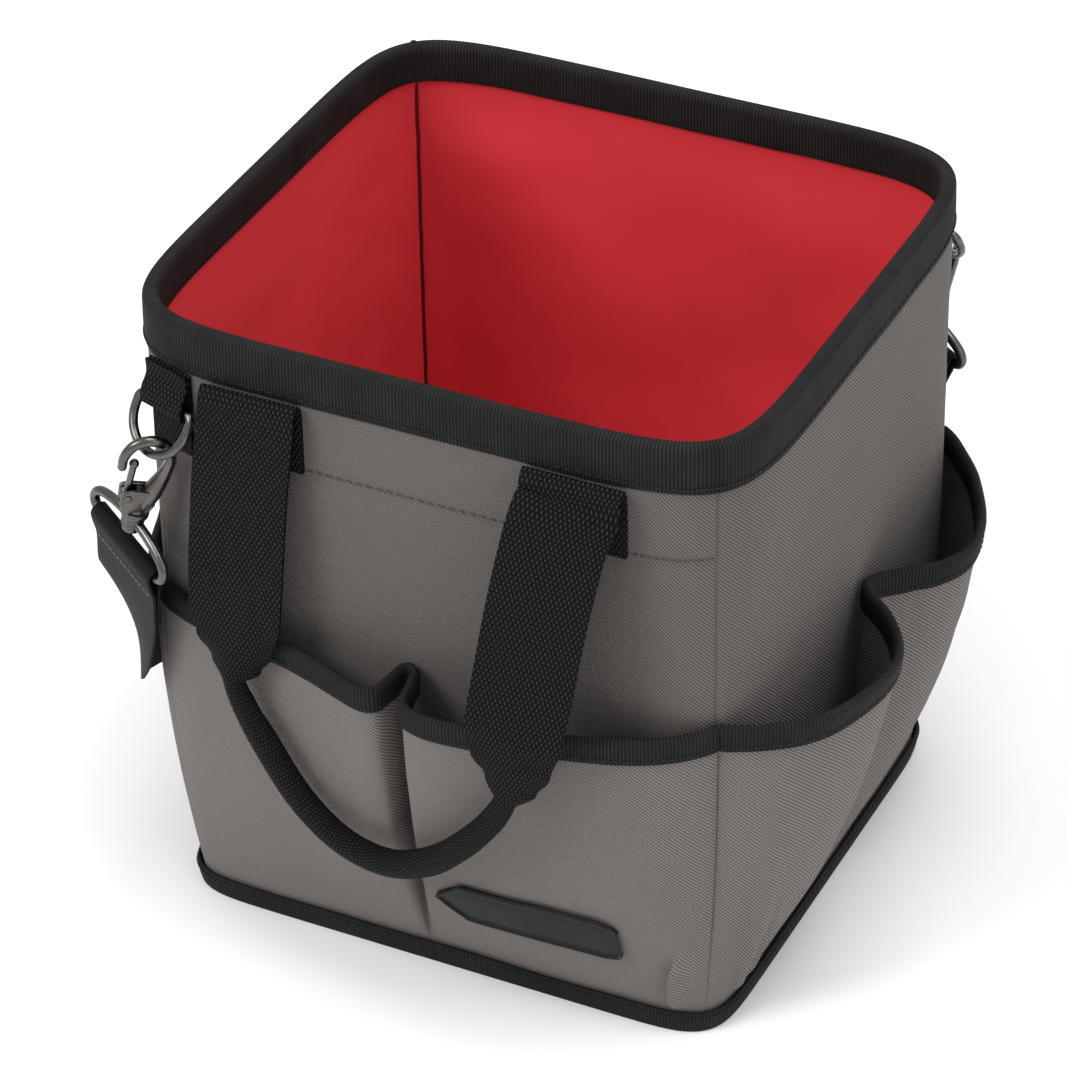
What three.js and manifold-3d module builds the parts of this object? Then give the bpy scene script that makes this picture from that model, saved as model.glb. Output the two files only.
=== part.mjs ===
// An open-topped tool bag: four padded walls on a flat base, a lining, pleated pockets, two webbing
// handles, and a shoulder strap clipped to two rings.
// Millimetres, +Z up. The origin is the middle of the base's underside, and the front faces -Y.
import * as THREE from 'three';
import { mergeVertices } from 'three/addons/utils/BufferGeometryUtils.js';
import Module from 'manifold-3d';

const wasm = await Module();
wasm.setup();

// Driving dimensions of the body
const RIM_HEIGHT = 302;
const BASE_HALF_WIDTH = 124;
const BASE_HALF_DEPTH = 117;
const RIM_HALF_WIDTH = 139.5;
const RIM_HALF_DEPTH = 130.5;
const BASE_SQUARENESS = 14;
const RIM_SQUARENESS = 7;
const SWELL_HEIGHT = 170;
const SEAM_END = 0.996;

// Thicknesses of cloth, and the clearance between sewn layers
const GAP = 0.3;
const BASE_THICKNESS = 3;
const WALL_THICKNESS = 2.4;
const LINING_THICKNESS = 1.2;
const RIM_TAPE_THICKNESS = 1.2;
const POCKET_THICKNESS = 1.4;
const POCKET_TAPE_THICKNESS = 1;
const BASE_TAPE_THICKNESS = 1.5;
const WEBBING_THICKNESS = 1.6;

// Heights of tapes and pockets
const RIM_TAPE_OUTSIDE = 22;
const RIM_TAPE_INSIDE = 18;
const POCKET_HEIGHT = 168;
const POCKET_TAPE_HEIGHT = 12;
const POCKET_FOOT = 12;
const BASE_TAPE_HEIGHT = 11;

// Webbing widths and the handle's places
const HANDLE_WIDTH = 43.5;
const HANDLE_CENTRE = 72;
const HANDLE_SEWN_FOOT = 247;
const HANDLE_FOLD_TOP = 281;
const GRIP_HALF_WIDTH = 5.8;
const GRIP_HALF_DEPTH = 4.4;
const GRIP_CURL = THREE.MathUtils.degToRad(300);
const TAB_WIDTH = 24;
const STRAP_WIDTH = 44;

// The D-ring in its tab on the wall
const RING_ALONG = -113;
const RING_BAR = { stand: 4.2, z: 262 };
const RING_SWING = THREE.MathUtils.degToRad(-30);
const RING_RADIUS = 15.5;
const RING_DROP = 21.5;
const RING_CORNER = 3;
const RING_WIRE = 2;

// The hook, in its own frame: the collar is at the origin, the jaw above it and the gate on its left
const HOOK_SEAT = 33;
const JAW_WIRE = 2.3;
const JAW_PATH = [
  { x: -9.9, z: 24.5 },
  { x: -9.9, z: 30 },
  { x: -6.7, z: 36.7 },
  { x: 0, z: 39.5 },
  { x: 6.7, z: 36.7 },
  { x: 9.5, z: 30 },
  { x: 8.5, z: 22 },
  { x: 5.5, z: 12 },
  { x: 2, z: 4 },
];
const BODY_THICKNESS = 8;
const BODY_OUTLINE = [
  { x: -8, z: 5 },
  { x: -5, z: 0 },
  { x: 4, z: 0 },
  { x: 7, z: 6 },
  { x: 5, z: 13 },
  { x: -5, z: 13.5 },
  { x: -8.5, z: 12 },
];
const FORK = { left: -12, right: -1.5, bottom: 4.5, top: 16 };
const GATE_PIVOT = { x: -5.5, z: 9.5 };
const GATE_TIP = { x: -5.2, z: 26.5 };
const GATE_HALF_THICKNESS = 1.6;
const GATE_HUB = 3;
const GATE_BAR = 1.5;
const GATE_BALL = 2.1;
const PIN_RADIUS = 1.2;
const COLLAR = { radius: 6, top: 0.5, bottom: -2.5 };
const POST = { radius: 2.2, top: -2, bottom: -9 };
const POST_HEAD = { radius: 4, top: -8.5, bottom: -11 };

// The swivel eye under the collar, and the strap's sewn turn round its bar
const EYE_WIRE = 2.2;
const EYE_HALF_LENGTH = 26;
const EYE_STRAIGHT = 22;
const EYE_TOP = -5.5;
const EYE_SHOULDER = -15;
const EYE_BAR = -20;
const EYE_BOSS = { radius: 5, top: -2.9, bottom: -8.2 };
const STRAP_TAIL = 34;

// How each hook hangs from its ring, in degrees: the tilt of its frame, the eye's turn about its axis, and
// the strap's swing under the eye
const HOOKS = {
  front: { pitch: 12, lean: 12, turn: 36.9, eye: -64.8, swing: 14 },
  back: { pitch: -17.2, lean: 1.1, turn: 62, eye: -82, swing: 8 },
};

// Each side of the bag, seen from outside: the way along it to the right, and the way out of it
const SIDES = {
  front: { along: new THREE.Vector3(1, 0, 0), out: new THREE.Vector3(0, -1, 0) },
  right: { along: new THREE.Vector3(0, 1, 0), out: new THREE.Vector3(1, 0, 0) },
  back: { along: new THREE.Vector3(-1, 0, 0), out: new THREE.Vector3(0, 1, 0) },
  left: { along: new THREE.Vector3(0, -1, 0), out: new THREE.Vector3(-1, 0, 0) },
};

// Folds of a pocket panel from left to right: place along the wall at the mouth and at the foot, and how
// far the mouth stands out. The pair of rows that stand out by 2 mm is the middle seam, inside its pleat.
const FRONT_FOLDS = [
  { mouth: -124, foot: -121, out: 0 },
  { mouth: -108, foot: -106, out: 1.5 },
  { mouth: -84, foot: -82, out: 5 },
  { mouth: -56, foot: -54, out: 10 },
  { mouth: -30, foot: -30, out: 19 },
  { mouth: -15, foot: -17, out: 24 },
  { mouth: -9, foot: -13, out: 22 },
  { mouth: -7.5, foot: -10, out: 12 },
  { mouth: -5.5, foot: -7, out: 2 },
  { mouth: -0.5, foot: -3, out: 2 },
  { mouth: 3.5, foot: 0, out: 12 },
  { mouth: 7, foot: 3, out: 25 },
  { mouth: 15, foot: 8, out: 30 },
  { mouth: 40, foot: 36, out: 29 },
  { mouth: 72, foot: 69, out: 20 },
  { mouth: 99, foot: 96, out: 12 },
  { mouth: 114, foot: 111, out: 6 },
  { mouth: 124, foot: 121, out: 0 },
];
const RIGHT_FOLDS = [
  { mouth: -116, foot: -113, out: 0 },
  { mouth: -108, foot: -105, out: 9 },
  { mouth: -96, foot: -94, out: 21 },
  { mouth: -80, foot: -80, out: 29 },
  { mouth: -54, foot: -54, out: 34 },
  { mouth: -38, foot: -38, out: 31 },
  { mouth: -19, foot: -20, out: 18 },
  { mouth: -4.5, foot: -5, out: 2 },
  { mouth: 1.5, foot: 1, out: 2 },
  { mouth: 12, foot: 12, out: 12 },
  { mouth: 22, foot: 22, out: 23 },
  { mouth: 37, foot: 37, out: 31 },
  { mouth: 58, foot: 58, out: 29 },
  { mouth: 86, foot: 84, out: 16 },
  { mouth: 105, foot: 102, out: 5 },
  { mouth: 116, foot: 113, out: 0 },
];
const LEFT_FOLDS = [
  { mouth: -116, foot: -113, out: 0 },
  { mouth: -90, foot: -88, out: 9 },
  { mouth: -52, foot: -52, out: 19 },
  { mouth: -24, foot: -25, out: 14 },
  { mouth: -4, foot: -5, out: 2 },
  { mouth: 2, foot: 1, out: 2 },
  { mouth: 24, foot: 24, out: 14 },
  { mouth: 52, foot: 52, out: 17 },
  { mouth: 84, foot: 82, out: 7 },
  { mouth: 116, foot: 113, out: 0 },
];
const POCKET_PANELS = [
  { side: 'front', folds: FRONT_FOLDS, belly: 3, steps: 36 },
  { side: 'right', folds: RIGHT_FOLDS, belly: 3, steps: 30 },
  { side: 'left', folds: LEFT_FOLDS, belly: 5, steps: 26 },
];

// Outline of the patch on the front pocket, from its pointed end: its lower and upper edge at each place
const BADGE_THICKNESS = 1.8;
const BADGE_OUTLINE = [
  { along: 8, low: 52, high: 55 },
  { along: 21, low: 41, high: 66.5 },
  { along: 50, low: 39.8, high: 65.2 },
  { along: 80, low: 38.2, high: 63.4 },
  { along: 90, low: 40, high: 58 },
];

// Stations of the hanging part of a handle: place, how far it swings out of the fold, how far the webbing
// is curled into the grip, and the grip's girth, which is small in the necks under the legs
const HANDLE_STATIONS = [
  { x: -74.5, z: 245, swing: 2.4, curl: 0, girth: 1 },
  { x: -76, z: 205, swing: 7.4, curl: 0, girth: 1 },
  { x: -76.5, z: 178, swing: 10.7, curl: 0, girth: 1 },
  { x: -77.5, z: 161, swing: 12.6, curl: 0.35, girth: 1 },
  { x: -78.5, z: 147, swing: 13.3, curl: 1, girth: 0.72 },
  { x: -74, z: 134, swing: 14, curl: 1, girth: 0.85 },
  { x: -65, z: 118, swing: 14.8, curl: 1, girth: 1 },
  { x: -48, z: 94, swing: 16, curl: 1, girth: 1 },
  { x: -29, z: 80, swing: 17.4, curl: 1, girth: 1 },
  { x: -8, z: 77.5, swing: 20, curl: 1, girth: 1 },
  { x: 14, z: 88, swing: 25, curl: 1, girth: 1 },
  { x: 33, z: 106, swing: 29, curl: 1, girth: 0.9 },
  { x: 48, z: 125, swing: 31, curl: 1, girth: 0.82 },
  { x: 55.5, z: 139, swing: 32, curl: 1, girth: 0.72 },
  { x: 58.5, z: 155, swing: 32, curl: 0.35, girth: 1 },
  { x: 60, z: 172, swing: 31, curl: 0, girth: 1 },
  { x: 62, z: 192, swing: 25.4, curl: 0, girth: 1 },
  { x: 66, z: 232, swing: 15.4, curl: 0, girth: 1 },
  { x: 70, z: 262, swing: 5.4, curl: 0, girth: 1 },
];
const HANDLES = [
  { name: 'front_handle', turn: 0, swing: 1, gripSwing: 0, perStation: 2 },
  { name: 'back_handle', turn: Math.PI, swing: 0.1, gripSwing: 5, perStation: 1 },
];

// The shoulder strap's way from the front hook round the left and the back to the back hook. Facing is
// where the strap's outer face looks in plan: 0 to the front, 90 to the left and 180 to the back.
const STRAP_STATIONS = [
  { x: -144, y: -118, z: 136, facing: 45 },
  { x: -149, y: -104, z: 122, facing: 68 },
  { x: -155, y: -85, z: 112, facing: 84 },
  { x: -160, y: -50, z: 95, facing: 90 },
  { x: -164, y: -10, z: 72, facing: 91 },
  { x: -163, y: 35, z: 52, facing: 91 },
  { x: -160, y: 75, z: 36, facing: 95 },
  { x: -151, y: 110, z: 27, facing: 112 },
  { x: -125, y: 143, z: 23, facing: 150 },
  { x: -88, y: 154, z: 22.6, facing: 174 },
  { x: -50, y: 156, z: 23.4, facing: 179 },
  { x: -14, y: 157, z: 29, facing: 180 },
  { x: 20, y: 157, z: 43, facing: 180 },
  { x: 50, y: 155, z: 66, facing: 181 },
  { x: 71, y: 152.5, z: 96, facing: 184 },
  { x: 84, y: 150.5, z: 127, facing: 190 },
];

const FINISHES = {
  twill: { color: 0x77706b, roughness: 0.9, metalness: 0 },
  lining: { color: 0xad2830, roughness: 0.75, metalness: 0 },
  tape: { color: 0x1b1b1c, roughness: 0.8, metalness: 0 },
  webbing: { color: 0x202021, roughness: 0.7, metalness: 0 },
  strap: { color: 0x3b3945, roughness: 0.7, metalness: 0 },
  steel: { color: 0x77736f, roughness: 0.35, metalness: 1 },
  rubber: { color: 0x232324, roughness: 0.6, metalness: 0 },
};

const bag = new THREE.Group();

// Names a solid, gives it its finish and puts it in a group.
function place(name, finish, geometry, group = bag) {
  const mesh = new THREE.Mesh(geometry, new THREE.MeshStandardMaterial(FINISHES[finish]));
  mesh.name = name;
  group.add(mesh);
}

// Evenly spaced numbers from first to last, both included.
function spaced(first, last, steps) {
  return Array.from({ length: steps + 1 }, (_, i) => first + ((last - first) * i) / steps);
}

// A closed solid through sections of equal point count. A section holds one row of points and then the
// facing row backwards, so that its ends close with strips between the two rows.
function loft(sections, closed = false) {
  const count = sections[0].length;
  const bridges = closed ? sections.length : sections.length - 1;
  const index = [];
  for (let i = 0; i < bridges; i += 1) {
    const here = i * count;
    const next = ((i + 1) % sections.length) * count;
    for (let j = 0; j < count; j += 1) {
      const k = (j + 1) % count;
      if (j < count / 2) index.push(here + j, here + k, next + k, here + j, next + k, next + j);
      else index.push(here + j, here + k, next + j, here + k, next + k, next + j);
    }
  }
  if (!closed) {
    const end = bridges * count;
    for (let j = 0; j < count / 2 - 1; j += 1) {
      const facing = count - 1 - j;
      index.push(j, facing, j + 1, j + 1, facing, facing - 1);
      index.push(end + j, end + j + 1, end + facing, end + j + 1, end + facing - 1, end + facing);
    }
  }
  const points = sections.flat();
  let volume = 0;
  for (let i = 0; i < index.length; i += 3) {
    const [a, b, c] = [points[index[i]], points[index[i + 1]], points[index[i + 2]]];
    volume += a.dot(new THREE.Vector3().crossVectors(b, c));
  }
  if (volume < 0) index.reverse();
  const geometry = new THREE.BufferGeometry().setFromPoints(points);
  geometry.setIndex(index);
  return geometry;
}

// A closed mesh as a solid that can be joined and cut.
function solid(geometry) {
  const bare = geometry.clone();
  bare.deleteAttribute('normal');
  bare.deleteAttribute('uv');
  const merged = mergeVertices(bare, 1e-4);
  const vertProperties = new Float32Array(merged.attributes.position.array);
  const triVerts = new Uint32Array(merged.index.array);
  return new wasm.Manifold(new wasm.Mesh({ numProp: 3, vertProperties, triVerts }));
}

// A joined or cut solid as a geometry again.
function geometryOf(manifold) {
  const mesh = manifold.getMesh();
  const geometry = new THREE.BufferGeometry();
  geometry.setAttribute('position', new THREE.BufferAttribute(mesh.vertProperties, 3));
  geometry.setIndex(new THREE.BufferAttribute(mesh.triVerts, 1));
  return geometry;
}

// The wall's outer face at a place along a side (-1 and 1 are its corner seams), a height, and a distance
// out of it. In plan the body is a superellipse that swells and softens from the base upwards.
function wallPoint(side, share, z, stand) {
  const { along, out } = SIDES[side];
  const { halfAlong, halfOut, squareness, corner } = wallForm(side, z);
  const a = share * corner;
  const o = (1 - Math.abs(a) ** squareness) ** (1 / squareness);
  const slope = (Math.sign(a) * Math.abs(a) ** (squareness - 1)) / halfAlong;
  const normal = new THREE.Vector2(slope, o ** (squareness - 1) / halfOut).normalize();
  return new THREE.Vector3(0, 0, z)
    .addScaledVector(along, a * halfAlong + stand * normal.x)
    .addScaledVector(out, o * halfOut + stand * normal.y);
}

// Half sizes and squareness of the body's plan at a height, and the share of the half size at which the
// corner seam lies.
function wallForm(side, z) {
  const swell = Math.sin((Math.min(z / SWELL_HEIGHT, 1) * Math.PI) / 2);
  const { lerp } = THREE.MathUtils;
  const halfWidth = lerp(BASE_HALF_WIDTH, RIM_HALF_WIDTH, swell);
  const halfDepth = lerp(BASE_HALF_DEPTH, RIM_HALF_DEPTH, swell);
  const squareness = lerp(BASE_SQUARENESS, RIM_SQUARENESS, swell);
  const across = SIDES[side].along.x !== 0;
  return {
    halfAlong: across ? halfWidth : halfDepth,
    halfOut: across ? halfDepth : halfWidth,
    squareness,
    corner: 2 ** (-1 / squareness),
  };
}

// Places along a side, closer together towards the corner seams.
function sharesAlong(steps, end = 1) {
  return spaced(-1, 1, steps).map((v) => end * Math.sin((v * Math.PI) / 2));
}

// One side's sheet of cloth between two distances from the wall's outer face.
function wallSheet(side, outer, inner, levels, steps) {
  const shares = sharesAlong(steps, SEAM_END);
  return loft(levels.map((z) => [
    ...shares.map((share) => wallPoint(side, share, z, outer)),
    ...shares.toReversed().map((share) => wallPoint(side, share, z, inner)),
  ]));
}

// Sections all round the bag, made by a function of side and place.
function aroundBag(steps, section) {
  return Object.keys(SIDES).flatMap((side) => (
    sharesAlong(steps).slice(0, -1).map((share) => section(side, share))
  ));
}

// A flat slab with the body's plan at its underside, set in or out by a distance.
function floorSlab(z, thickness, stand, steps) {
  const outline = aroundBag(steps, (side, share) => wallPoint(side, share, z, stand));
  const shape = new THREE.Shape(outline.map((p) => new THREE.Vector2(p.x, p.y)));
  const slab = new THREE.ExtrudeGeometry(shape, { depth: thickness, bevelEnabled: false });
  return slab.translate(0, 0, z);
}

// Walls, lining and base
const WALL_STEPS = 10;
const wallFoot = BASE_THICKNESS + GAP;
const wallTop = RIM_HEIGHT - RIM_TAPE_THICKNESS - GAP;
const liningOuter = -(WALL_THICKNESS + GAP);
const liningInner = liningOuter - LINING_THICKNESS;
const liningFoot = wallFoot + LINING_THICKNESS + GAP;
const swellLevels = [55, 110, SWELL_HEIGHT];
for (const side of Object.keys(SIDES)) {
  const wallLevels = [wallFoot, ...swellLevels, wallTop];
  const liningLevels = [liningFoot, ...swellLevels, wallTop];
  place(`${side}_panel`, 'twill', wallSheet(side, 0, -WALL_THICKNESS, wallLevels, WALL_STEPS));
  place(`lining_${side}`, 'lining', wallSheet(side, liningOuter, liningInner, liningLevels, WALL_STEPS));
}
const pocketBack = 2 * GAP + POCKET_THICKNESS;
place('base_panel', 'tape', floorSlab(0, BASE_THICKNESS, pocketBack, WALL_STEPS));
place('lining_floor', 'lining', floorSlab(wallFoot, LINING_THICKNESS, liningOuter - GAP, WALL_STEPS));

// The rim's tape is a channel folded down over wall and lining.
const rimOut = GAP + RIM_TAPE_THICKNESS;
const rimIn = liningInner - GAP - RIM_TAPE_THICKNESS;
const rimProfile = [
  { stand: rimOut, z: RIM_HEIGHT - RIM_TAPE_OUTSIDE },
  { stand: rimOut, z: RIM_HEIGHT },
  { stand: rimIn, z: RIM_HEIGHT },
  { stand: rimIn, z: RIM_HEIGHT - RIM_TAPE_INSIDE },
  { stand: rimIn + RIM_TAPE_THICKNESS, z: RIM_HEIGHT - RIM_TAPE_INSIDE },
  { stand: rimIn + RIM_TAPE_THICKNESS, z: RIM_HEIGHT - RIM_TAPE_THICKNESS },
  { stand: GAP, z: RIM_HEIGHT - RIM_TAPE_THICKNESS },
  { stand: GAP, z: RIM_HEIGHT - RIM_TAPE_OUTSIDE },
];
place('rim_binding', 'tape', loft(aroundBag(WALL_STEPS, (side, share) => (
  rimProfile.map(({ stand, z }) => wallPoint(side, share, z, stand))
)), true));

// The base's tape is a band round the foot of walls and pockets.
const baseTapeIn = pocketBack + 3 * GAP;
const baseProfile = [
  { stand: baseTapeIn + BASE_TAPE_THICKNESS, z: 0 },
  { stand: baseTapeIn + BASE_TAPE_THICKNESS, z: BASE_TAPE_HEIGHT },
  { stand: baseTapeIn, z: BASE_TAPE_HEIGHT },
  { stand: baseTapeIn, z: 0 },
];
place('base_binding', 'tape', loft(aroundBag(WALL_STEPS, (side, share) => (
  baseProfile.map(({ stand, z }) => wallPoint(side, share, z, stand))
)), true));

// The outer face of a pocket panel at a level, as a row of points in plan with their outward normals.
function pocketRow(panel, z) {
  const curve = new THREE.CatmullRomCurve3(
    panel.folds.map((fold) => new THREE.Vector3(fold.mouth, fold.out, fold.foot)),
    false,
    'centripetal',
  );
  const rise = Math.max(z - POCKET_FOOT, 0) / (POCKET_HEIGHT - POCKET_FOOT);
  const fullness = rise ** 0.9;
  const belly = panel.belly * Math.sin(rise * Math.PI);
  const clearance = POCKET_TAPE_THICKNESS + GAP + GAP;
  const { halfAlong, corner } = wallForm(panel.side, z);
  const points = spaced(0, 1, panel.steps).map((u) => {
    const fold = curve.getPoint(u);
    const along = THREE.MathUtils.lerp(fold.z, fold.x, rise);
    const share = THREE.MathUtils.clamp(along / (corner * halfAlong), -0.985, 0.985);
    const reach = Math.max(fold.y, 0);
    const sag = belly * Math.min(reach / 12, 1);
    return wallPoint(panel.side, share, z, pocketBack + (reach + clearance) * fullness + sag);
  });
  return points.map((point, i) => {
    const before = points[Math.max(i - 1, 0)];
    const after = points[Math.min(i + 1, points.length - 1)];
    const run = new THREE.Vector3().subVectors(after, before);
    return { point, normal: new THREE.Vector3(run.y, -run.x, 0).normalize() };
  });
}

// The same row moved out along its normals.
function offsetRow(row, distance, z) {
  return row.map(({ point, normal }) => point.clone().addScaledVector(normal, distance).setZ(z));
}

// Pocket panels and the tape over their mouths
const pocketTop = POCKET_HEIGHT - POCKET_TAPE_THICKNESS - GAP;
const pocketLevels = [wallFoot, POCKET_FOOT, 45, 100, POCKET_HEIGHT - POCKET_TAPE_HEIGHT, pocketTop];
for (const panel of POCKET_PANELS) {
  place(`${panel.side}_pocket`, 'twill', loft(pocketLevels.map((z) => {
    const row = pocketRow(panel, z);
    return [...offsetRow(row, 0, z), ...offsetRow(row, -POCKET_THICKNESS, z).reverse()];
  })));
  const tapeFoot = POCKET_HEIGHT - POCKET_TAPE_HEIGHT;
  const foot = pocketRow(panel, tapeFoot);
  const top = pocketRow(panel, pocketTop);
  const outFace = GAP + POCKET_TAPE_THICKNESS;
  const inFace = -(POCKET_THICKNESS + GAP + POCKET_TAPE_THICKNESS);
  const rows = [
    offsetRow(foot, outFace, tapeFoot),
    offsetRow(top, outFace, POCKET_HEIGHT),
    offsetRow(top, inFace, POCKET_HEIGHT),
    offsetRow(foot, inFace, tapeFoot),
    offsetRow(foot, inFace + POCKET_TAPE_THICKNESS, tapeFoot),
    offsetRow(top, inFace + POCKET_TAPE_THICKNESS, POCKET_HEIGHT - POCKET_TAPE_THICKNESS),
    offsetRow(top, GAP, POCKET_HEIGHT - POCKET_TAPE_THICKNESS),
    offsetRow(foot, GAP, tapeFoot),
  ];
  place(`${panel.side}_pocket_binding`, 'tape', loft(foot.map((_, i) => rows.map((row) => row[i]))));
}

// A point on the front pocket's outer face near a place along the wall, a height and a distance out of it.
function frontPocketPoint(along, z, distance) {
  const row = pocketRow(POCKET_PANELS[0], z);
  const after = row.findIndex(({ point }, i) => i > row.length / 2 && point.x > along);
  const [low, high] = [row[after - 1], row[after]];
  const share = (along - low.point.x) / (high.point.x - low.point.x);
  const normal = new THREE.Vector3().lerpVectors(low.normal, high.normal, share).normalize();
  return new THREE.Vector3().lerpVectors(low.point, high.point, share).addScaledVector(normal, distance);
}

// The patch, bent over the front pocket
place('badge', 'rubber', loft(BADGE_OUTLINE.map(({ along, low, high }) => {
  const heights = spaced(low, high, 2);
  const seat = 2 * GAP;
  return [
    ...heights.map((z) => frontPocketPoint(along, z, seat + BADGE_THICKNESS)),
    ...heights.toReversed().map((z) => frontPocketPoint(along, z, seat)),
  ];
})));

// A band of webbing along a path. Each station gives the band's place, the way its outer face looks, its
// curl, from flat (0) to a grip with its edges turned in at the back (1), and the grip's girth.
function band(stations, width, across, perStation) {
  const path = new THREE.CatmullRomCurve3(stations.map((s) => s.place), false, 'centripetal');
  const facings = new THREE.CatmullRomCurve3(stations.map((s) => s.facing), false, 'centripetal');
  const last = stations.length - 1;
  return loft(spaced(0, 1, last * perStation).map((u, step) => {
    const before = Math.min(Math.floor(step / perStation), last - 1);
    const [here, next] = [stations[before], stations[before + 1]];
    const part = step / perStation - before;
    const curl = THREE.MathUtils.lerp(here.curl ?? 0, next.curl ?? 0, part);
    const girth = THREE.MathUtils.lerp(here.girth ?? 1, next.girth ?? 1, part);
    const centre = path.getPoint(u);
    const run = path.getTangent(u);
    const sideways = new THREE.Vector3().crossVectors(run, facings.getPoint(u)).normalize();
    const outward = new THREE.Vector3().crossVectors(sideways, run).normalize();
    const row = (face) => bandSection(width, curl, girth, across, face).map(({ x, y }) => (
      centre.clone().addScaledVector(sideways, x).addScaledVector(outward, y)
    ));
    return [...row(WEBBING_THICKNESS / 2), ...row(-WEBBING_THICKNESS / 2).reverse()];
  }));
}

// One face of a band's section, across the band and out of it.
function bandSection(width, curl, girth, across, face) {
  const middle = (share) => {
    const turn = share * GRIP_CURL;
    const flat = new THREE.Vector2(share * width, 0);
    const curled = new THREE.Vector2(
      girth * GRIP_HALF_WIDTH * Math.sin(turn),
      girth * GRIP_HALF_DEPTH * (Math.cos(turn) - 1),
    );
    return flat.lerp(curled, curl);
  };
  return spaced(-0.5, 0.5, across).map((share) => {
    const run = middle(share + 0.01).sub(middle(share - 0.01)).normalize();
    return middle(share).add(new THREE.Vector2(-run.y, run.x).multiplyScalar(face));
  });
}

// A direction in the plane across the wall: 0 looks out of the front, 90 up, 180 into the bag.
function facingTilted(degrees) {
  const tilt = THREE.MathUtils.degToRad(degrees);
  return new THREE.Vector3(0, -Math.cos(tilt), Math.sin(tilt));
}

// Handles: each end is sewn to the wall, goes up to its fold and comes over it to the hanging part.
const plyStand = GAP + WEBBING_THICKNESS / 2;
function handleEnd(x) {
  const wallY = -RIM_HALF_DEPTH - plyStand;
  const rows = [
    { out: 0, z: HANDLE_SEWN_FOOT, tilt: 180 },
    { out: 0, z: HANDLE_FOLD_TOP - 10, tilt: 180 },
    { out: 1, z: HANDLE_FOLD_TOP - 3, tilt: 150 },
    { out: 3.7, z: HANDLE_FOLD_TOP - WEBBING_THICKNESS / 2, tilt: 90 },
    { out: 6.3, z: HANDLE_FOLD_TOP - 4, tilt: 30 },
    { out: 7.3, z: HANDLE_FOLD_TOP - 10, tilt: 0 },
  ];
  return rows.map(({ out, z, tilt }) => (
    { place: new THREE.Vector3(x, wallY - out, z), facing: facingTilted(tilt) }
  ));
}
const foldPlane = handleEnd(HANDLE_CENTRE).at(-1).place.y;
for (const { name, turn, swing, gripSwing, perStation } of HANDLES) {
  const hanging = HANDLE_STATIONS.map((station) => ({
    place: new THREE.Vector3(
      station.x,
      foldPlane - station.swing * swing - station.curl * gripSwing,
      station.z,
    ),
    facing: facingTilted(0),
    curl: station.curl,
    girth: station.girth,
  }));
  const stations = [...handleEnd(-HANDLE_CENTRE), ...hanging, ...handleEnd(HANDLE_CENTRE).reverse()];
  place(name, 'webbing', band(stations, HANDLE_WIDTH, 4, perStation).rotateZ(turn));
}

// A wire bent in the plane of X and Z along a path of points.
function wire(points, radius, sides, closed) {
  return loft(points.map((point, i) => {
    const last = points.length - 1;
    const before = closed ? points.at(i - 1) : points[Math.max(i - 1, 0)];
    const after = closed ? points[(i + 1) % points.length] : points[Math.min(i + 1, last)];
    const run = new THREE.Vector2().subVectors(after, before).normalize();
    return spaced(0, 2 * Math.PI, sides).slice(0, -1).map((angle) => new THREE.Vector3(
      point.x - run.y * radius * Math.cos(angle),
      radius * Math.sin(angle),
      point.y + run.x * radius * Math.cos(angle),
    ));
  }), closed);
}

// A round pin between two points.
function pin(radius, from, to, sides = 14) {
  const run = new THREE.Vector3().subVectors(to, from);
  const up = new THREE.Vector3(0, 1, 0);
  const turn = new THREE.Quaternion().setFromUnitVectors(up, run.clone().normalize());
  return new THREE.CylinderGeometry(radius, radius, run.length(), sides)
    .applyQuaternion(turn)
    .translate(...from.clone().add(to).multiplyScalar(0.5));
}

// A pin along the hook's own axis.
function axlePin({ radius, top, bottom }) {
  return pin(radius, new THREE.Vector3(0, 0, bottom), new THREE.Vector3(0, 0, top));
}

// A pin across the hook at the gate's pivot.
function crossPin(radius, half) {
  const { x, z } = GATE_PIVOT;
  return pin(radius, new THREE.Vector3(x, -half, z), new THREE.Vector3(x, half, z), 12);
}

// A plate with an outline in the plane of X and Z, as thick as given along Y.
function plate(corners, thickness) {
  const shape = new THREE.Shape(corners.map(({ x, z }) => new THREE.Vector2(x, z)));
  return new THREE.ExtrudeGeometry(shape, { depth: thickness, bevelEnabled: false })
    .rotateX(Math.PI / 2)
    .translate(0, thickness / 2, 0);
}

// The D-shaped ring: a straight bar at the top and a round bow below it.
function ringGeometry() {
  const straight = RING_DROP - RING_RADIUS;
  const path = new THREE.Path();
  path.moveTo(-RING_RADIUS + RING_CORNER, 0);
  path.lineTo(RING_RADIUS - RING_CORNER, 0);
  path.quadraticCurveTo(RING_RADIUS, 0, RING_RADIUS, -RING_CORNER);
  path.lineTo(RING_RADIUS, -straight);
  path.absarc(0, -straight, RING_RADIUS, 0, Math.PI, true);
  path.lineTo(-RING_RADIUS, -RING_CORNER);
  path.quadraticCurveTo(-RING_RADIUS, 0, -RING_RADIUS + RING_CORNER, 0);
  return wire(path.getSpacedPoints(20).slice(0, -1), RING_WIRE, 6, true);
}

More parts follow.
